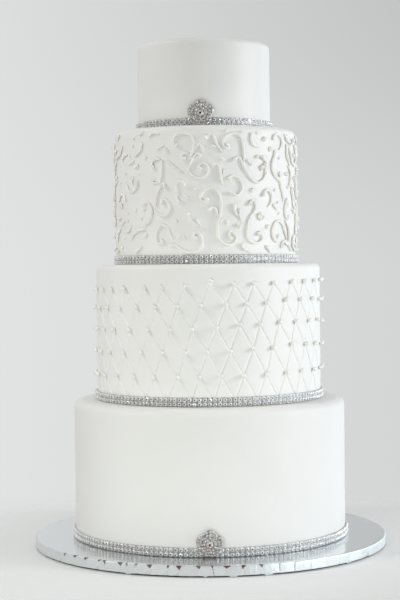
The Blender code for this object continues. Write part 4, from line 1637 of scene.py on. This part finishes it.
def studio_world(settings):
    """A plain pale backdrop behind the cake, and soft light from the front half, dimmer in front. Only
    reflections see the room's two sides."""
    world = bpy.data.worlds.new("studio")
    bpy.context.scene.world = world
    world.use_nodes = True
    tree = world.node_tree
    tree.nodes.clear()
    nodes = Nodes(tree)
    direction = nodes.add("ShaderNodeTexCoord", output="Generated")
    across = nodes.add("ShaderNodeSeparateXYZ", inputs=(direction,), output="X")
    back = across.output("Y")
    up = across.output("Z")
    sideways = nodes.span(across, -0.15, 0.15, smooth=False)
    low = nodes.blend(sideways, tuple(settings.backdrop_left), tuple(settings.backdrop_right))
    high = nodes.blend(sideways, tuple(settings.top_left), tuple(settings.top_right))
    backdrop = nodes.blend(nodes.span(up, -0.02, 0.2), low, high)
    room = nodes.span(-back, 0.55, 0.9) * nodes.span(up, -0.1, 0.0) * (1.0 - nodes.span(up, 0.4, 0.7))
    dim = nodes.blend(nodes.span(up, 0.0, 0.3), tuple(settings.room), tuple(settings.room_high))
    front = nodes.blend(room, tuple(settings.fill), dim)
    glossy = nodes.add("ShaderNodeLightPath", output="Is Glossy Ray")
    aside = across.sum("ABSOLUTE", across)
    window = glossy * nodes.span(aside, 0.45, 0.75) * (1.0 - nodes.span(up, 0.3, 0.6))
    light = nodes.blend(nodes.span(back, -0.2, 0.3), front, backdrop)
    rightward = nodes.span(across, -0.1, 0.1)
    sides = nodes.blend(rightward, tuple(settings.window_left), tuple(settings.window_right))
    light = nodes.blend(window, light, sides)
    lit = nodes.add("ShaderNodeBackground", inputs=(light, 1.0 + window * (settings.window_strength - 1.0)))
    shown = nodes.add("ShaderNodeBackground", inputs=(backdrop, 1.0))
    camera_ray = nodes.add("ShaderNodeLightPath", output="Is Camera Ray")
    mixed = nodes.add("ShaderNodeMixShader", inputs=(camera_ray, lit, shown))
    tree.links.new(mixed.socket, tree.nodes.new("ShaderNodeOutputWorld").inputs["Surface"])


def floor_finish(settings):
    """A pale matt table top that fades out into the backdrop, so that no horizon shows."""
    made = Surface("floor")
    mottle = made.noise(0.25, detail=3.0)
    bright = tuple(settings.floor)
    dull = tuple(c * 0.985 for c in settings.floor)
    made.set(Base_Color=made.blend(mottle, dull, bright), Roughness=0.55 + 0.1 * (mottle - 0.5))
    away = made.add("ShaderNodeVectorMath", {"operation": "LENGTH"}, (made.place,)).output("Value")
    clear = made.add("ShaderNodeBsdfTransparent")
    whole = Link(made, made.shader.outputs[0])
    gone = made.span(away, settings.fade_start, settings.fade_end)
    faded = made.add("ShaderNodeMixShader", inputs=(gone, whole, clear))
    made.tree.links.new(faded.socket, made.tree.nodes["Material Output"].inputs["Surface"])
    return made.material


def make_stage():
    """The floor, the soft lights, the world round them and the camera."""
    settings = bpy.context.scene.cake_stage
    scene = bpy.context.scene
    scene.view_settings.view_transform = "Standard"
    disc = bmesh.new()
    bmesh.ops.create_circle(disc, cap_ends=True, segments=96, radius=settings.fade_end)
    mesh = bpy.data.meshes.new("floor")
    disc.to_mesh(mesh)
    disc.free()
    mesh.materials.append(floor_finish(settings))
    add_piece("floor", mesh)
    studio_world(settings)
    for name in LIGHTS:
        soft_light(name, getattr(settings, name + "_power"), tuple(getattr(settings, name + "_tint")))

    lens = bpy.data.cameras.new("camera")
    lens.lens = LENS
    lens.sensor_width = 36.0
    lens.clip_start = 0.05
    camera = bpy.data.objects.new("camera", lens)
    turns = [Matrix.Rotation(math.radians(turn), 4, axis) for turn, axis in CAMERA_TURNS]
    camera.matrix_world = Matrix.Translation(CAMERA_PLACE) @ turns[0] @ turns[1] @ turns[2]
    scene.collection.objects.link(camera)
    scene.camera = camera


# ---------------------------------------------------------------- the add-on


class CAKE_OT_foil_board(bpy.types.Operator):
    """Make the foil-wrapped drum board"""

    bl_idname = "cake.foil_board"
    bl_label = "Foil Board"
    bl_options = {"REGISTER", "UNDO"}

    def execute(self, context):
        make_board()
        return {"FINISHED"}


class CAKE_OT_plain_tiers(bpy.types.Operator):
    """Make the plain bottom and top tiers"""

    bl_idname = "cake.plain_tiers"
    bl_label = "Plain Tiers"
    bl_options = {"REGISTER", "UNDO"}

    def execute(self, context):
        make_plain_tiers()
        return {"FINISHED"}


class CAKE_OT_quilted_tier(bpy.types.Operator):
    """Make the tier pressed with a diamond lattice"""

    bl_idname = "cake.quilted_tier"
    bl_label = "Quilted Tier"
    bl_options = {"REGISTER", "UNDO"}

    def execute(self, context):
        make_quilted_tier()
        return {"FINISHED"}


class CAKE_OT_pearls(bpy.types.Operator):
    """Make the sugar pearls at the lattice's crossings"""

    bl_idname = "cake.pearls"
    bl_label = "Sugar Pearls"
    bl_options = {"REGISTER", "UNDO"}

    def execute(self, context):
        make_pearls()
        return {"FINISHED"}


class CAKE_OT_scroll_tier(bpy.types.Operator):
    """Make the plain wall under the piping"""

    bl_idname = "cake.scroll_tier"
    bl_label = "Scroll Tier"
    bl_options = {"REGISTER", "UNDO"}

    def execute(self, context):
        make_scroll_wall()
        return {"FINISHED"}


class CAKE_OT_piping(bpy.types.Operator):
    """Make the piped scrolls and dots"""

    bl_idname = "cake.piping"
    bl_label = "Piped Scrolls"
    bl_options = {"REGISTER", "UNDO"}

    def execute(self, context):
        make_piping()
        return {"FINISHED"}


class CAKE_OT_bands(bpy.types.Operator):
    """Make the rhinestone ribbon round the foot of every tier"""

    bl_idname = "cake.bands"
    bl_label = "Rhinestone Bands"
    bl_options = {"REGISTER", "UNDO"}

    def execute(self, context):
        make_bands()
        return {"FINISHED"}


class CAKE_OT_brooches(bpy.types.Operator):
    """Make the two flower brooches"""

    bl_idname = "cake.brooches"
    bl_label = "Brooches"
    bl_options = {"REGISTER", "UNDO"}

    def execute(self, context):
        make_brooches()
        return {"FINISHED"}


class CAKE_OT_stage(bpy.types.Operator):
    """Make the floor, the light and the camera"""

    bl_idname = "cake.stage"
    bl_label = "Stage"
    bl_options = {"REGISTER", "UNDO"}

    def execute(self, context):
        make_stage()
        return {"FINISHED"}


class CAKE_PT_sidebar(bpy.types.Panel):
    """Sizes, colours and buttons of the cake"""

    bl_idname = "CAKE_PT_sidebar"
    bl_label = "Tiered Wedding Cake"
    bl_space_type = "VIEW_3D"
    bl_region_type = "UI"
    bl_category = "Cake"

    def draw(self, context):
        for operator in OPERATORS:
            self.layout.operator(operator.bl_idname)
        for name, group in SETTINGS.items():
            box = self.layout.box()
            box.label(text=group.__doc__.rstrip("."))
            for setting in group.__annotations__:
                box.prop(getattr(context.scene, name), setting)


OPERATORS = (
    CAKE_OT_foil_board,
    CAKE_OT_plain_tiers,
    CAKE_OT_quilted_tier,
    CAKE_OT_pearls,
    CAKE_OT_scroll_tier,
    CAKE_OT_piping,
    CAKE_OT_bands,
    CAKE_OT_brooches,
    CAKE_OT_stage,
)
CLASSES = (*SETTINGS.values(), *OPERATORS, CAKE_PT_sidebar)


def register():
    for kind in CLASSES:
        bpy.utils.register_class(kind)
    for name, group in SETTINGS.items():
        setattr(bpy.types.Scene, name, PointerProperty(type=group))


def unregister():
    for name in SETTINGS:
        delattr(bpy.types.Scene, name)
    for kind in reversed(CLASSES):
        bpy.utils.unregister_class(kind)


def main():
    register()
    for operator in OPERATORS:
        group, name = operator.bl_idname.split(".")
        getattr(getattr(bpy.ops, group), name)()


if __name__ == "__main__":
    main()
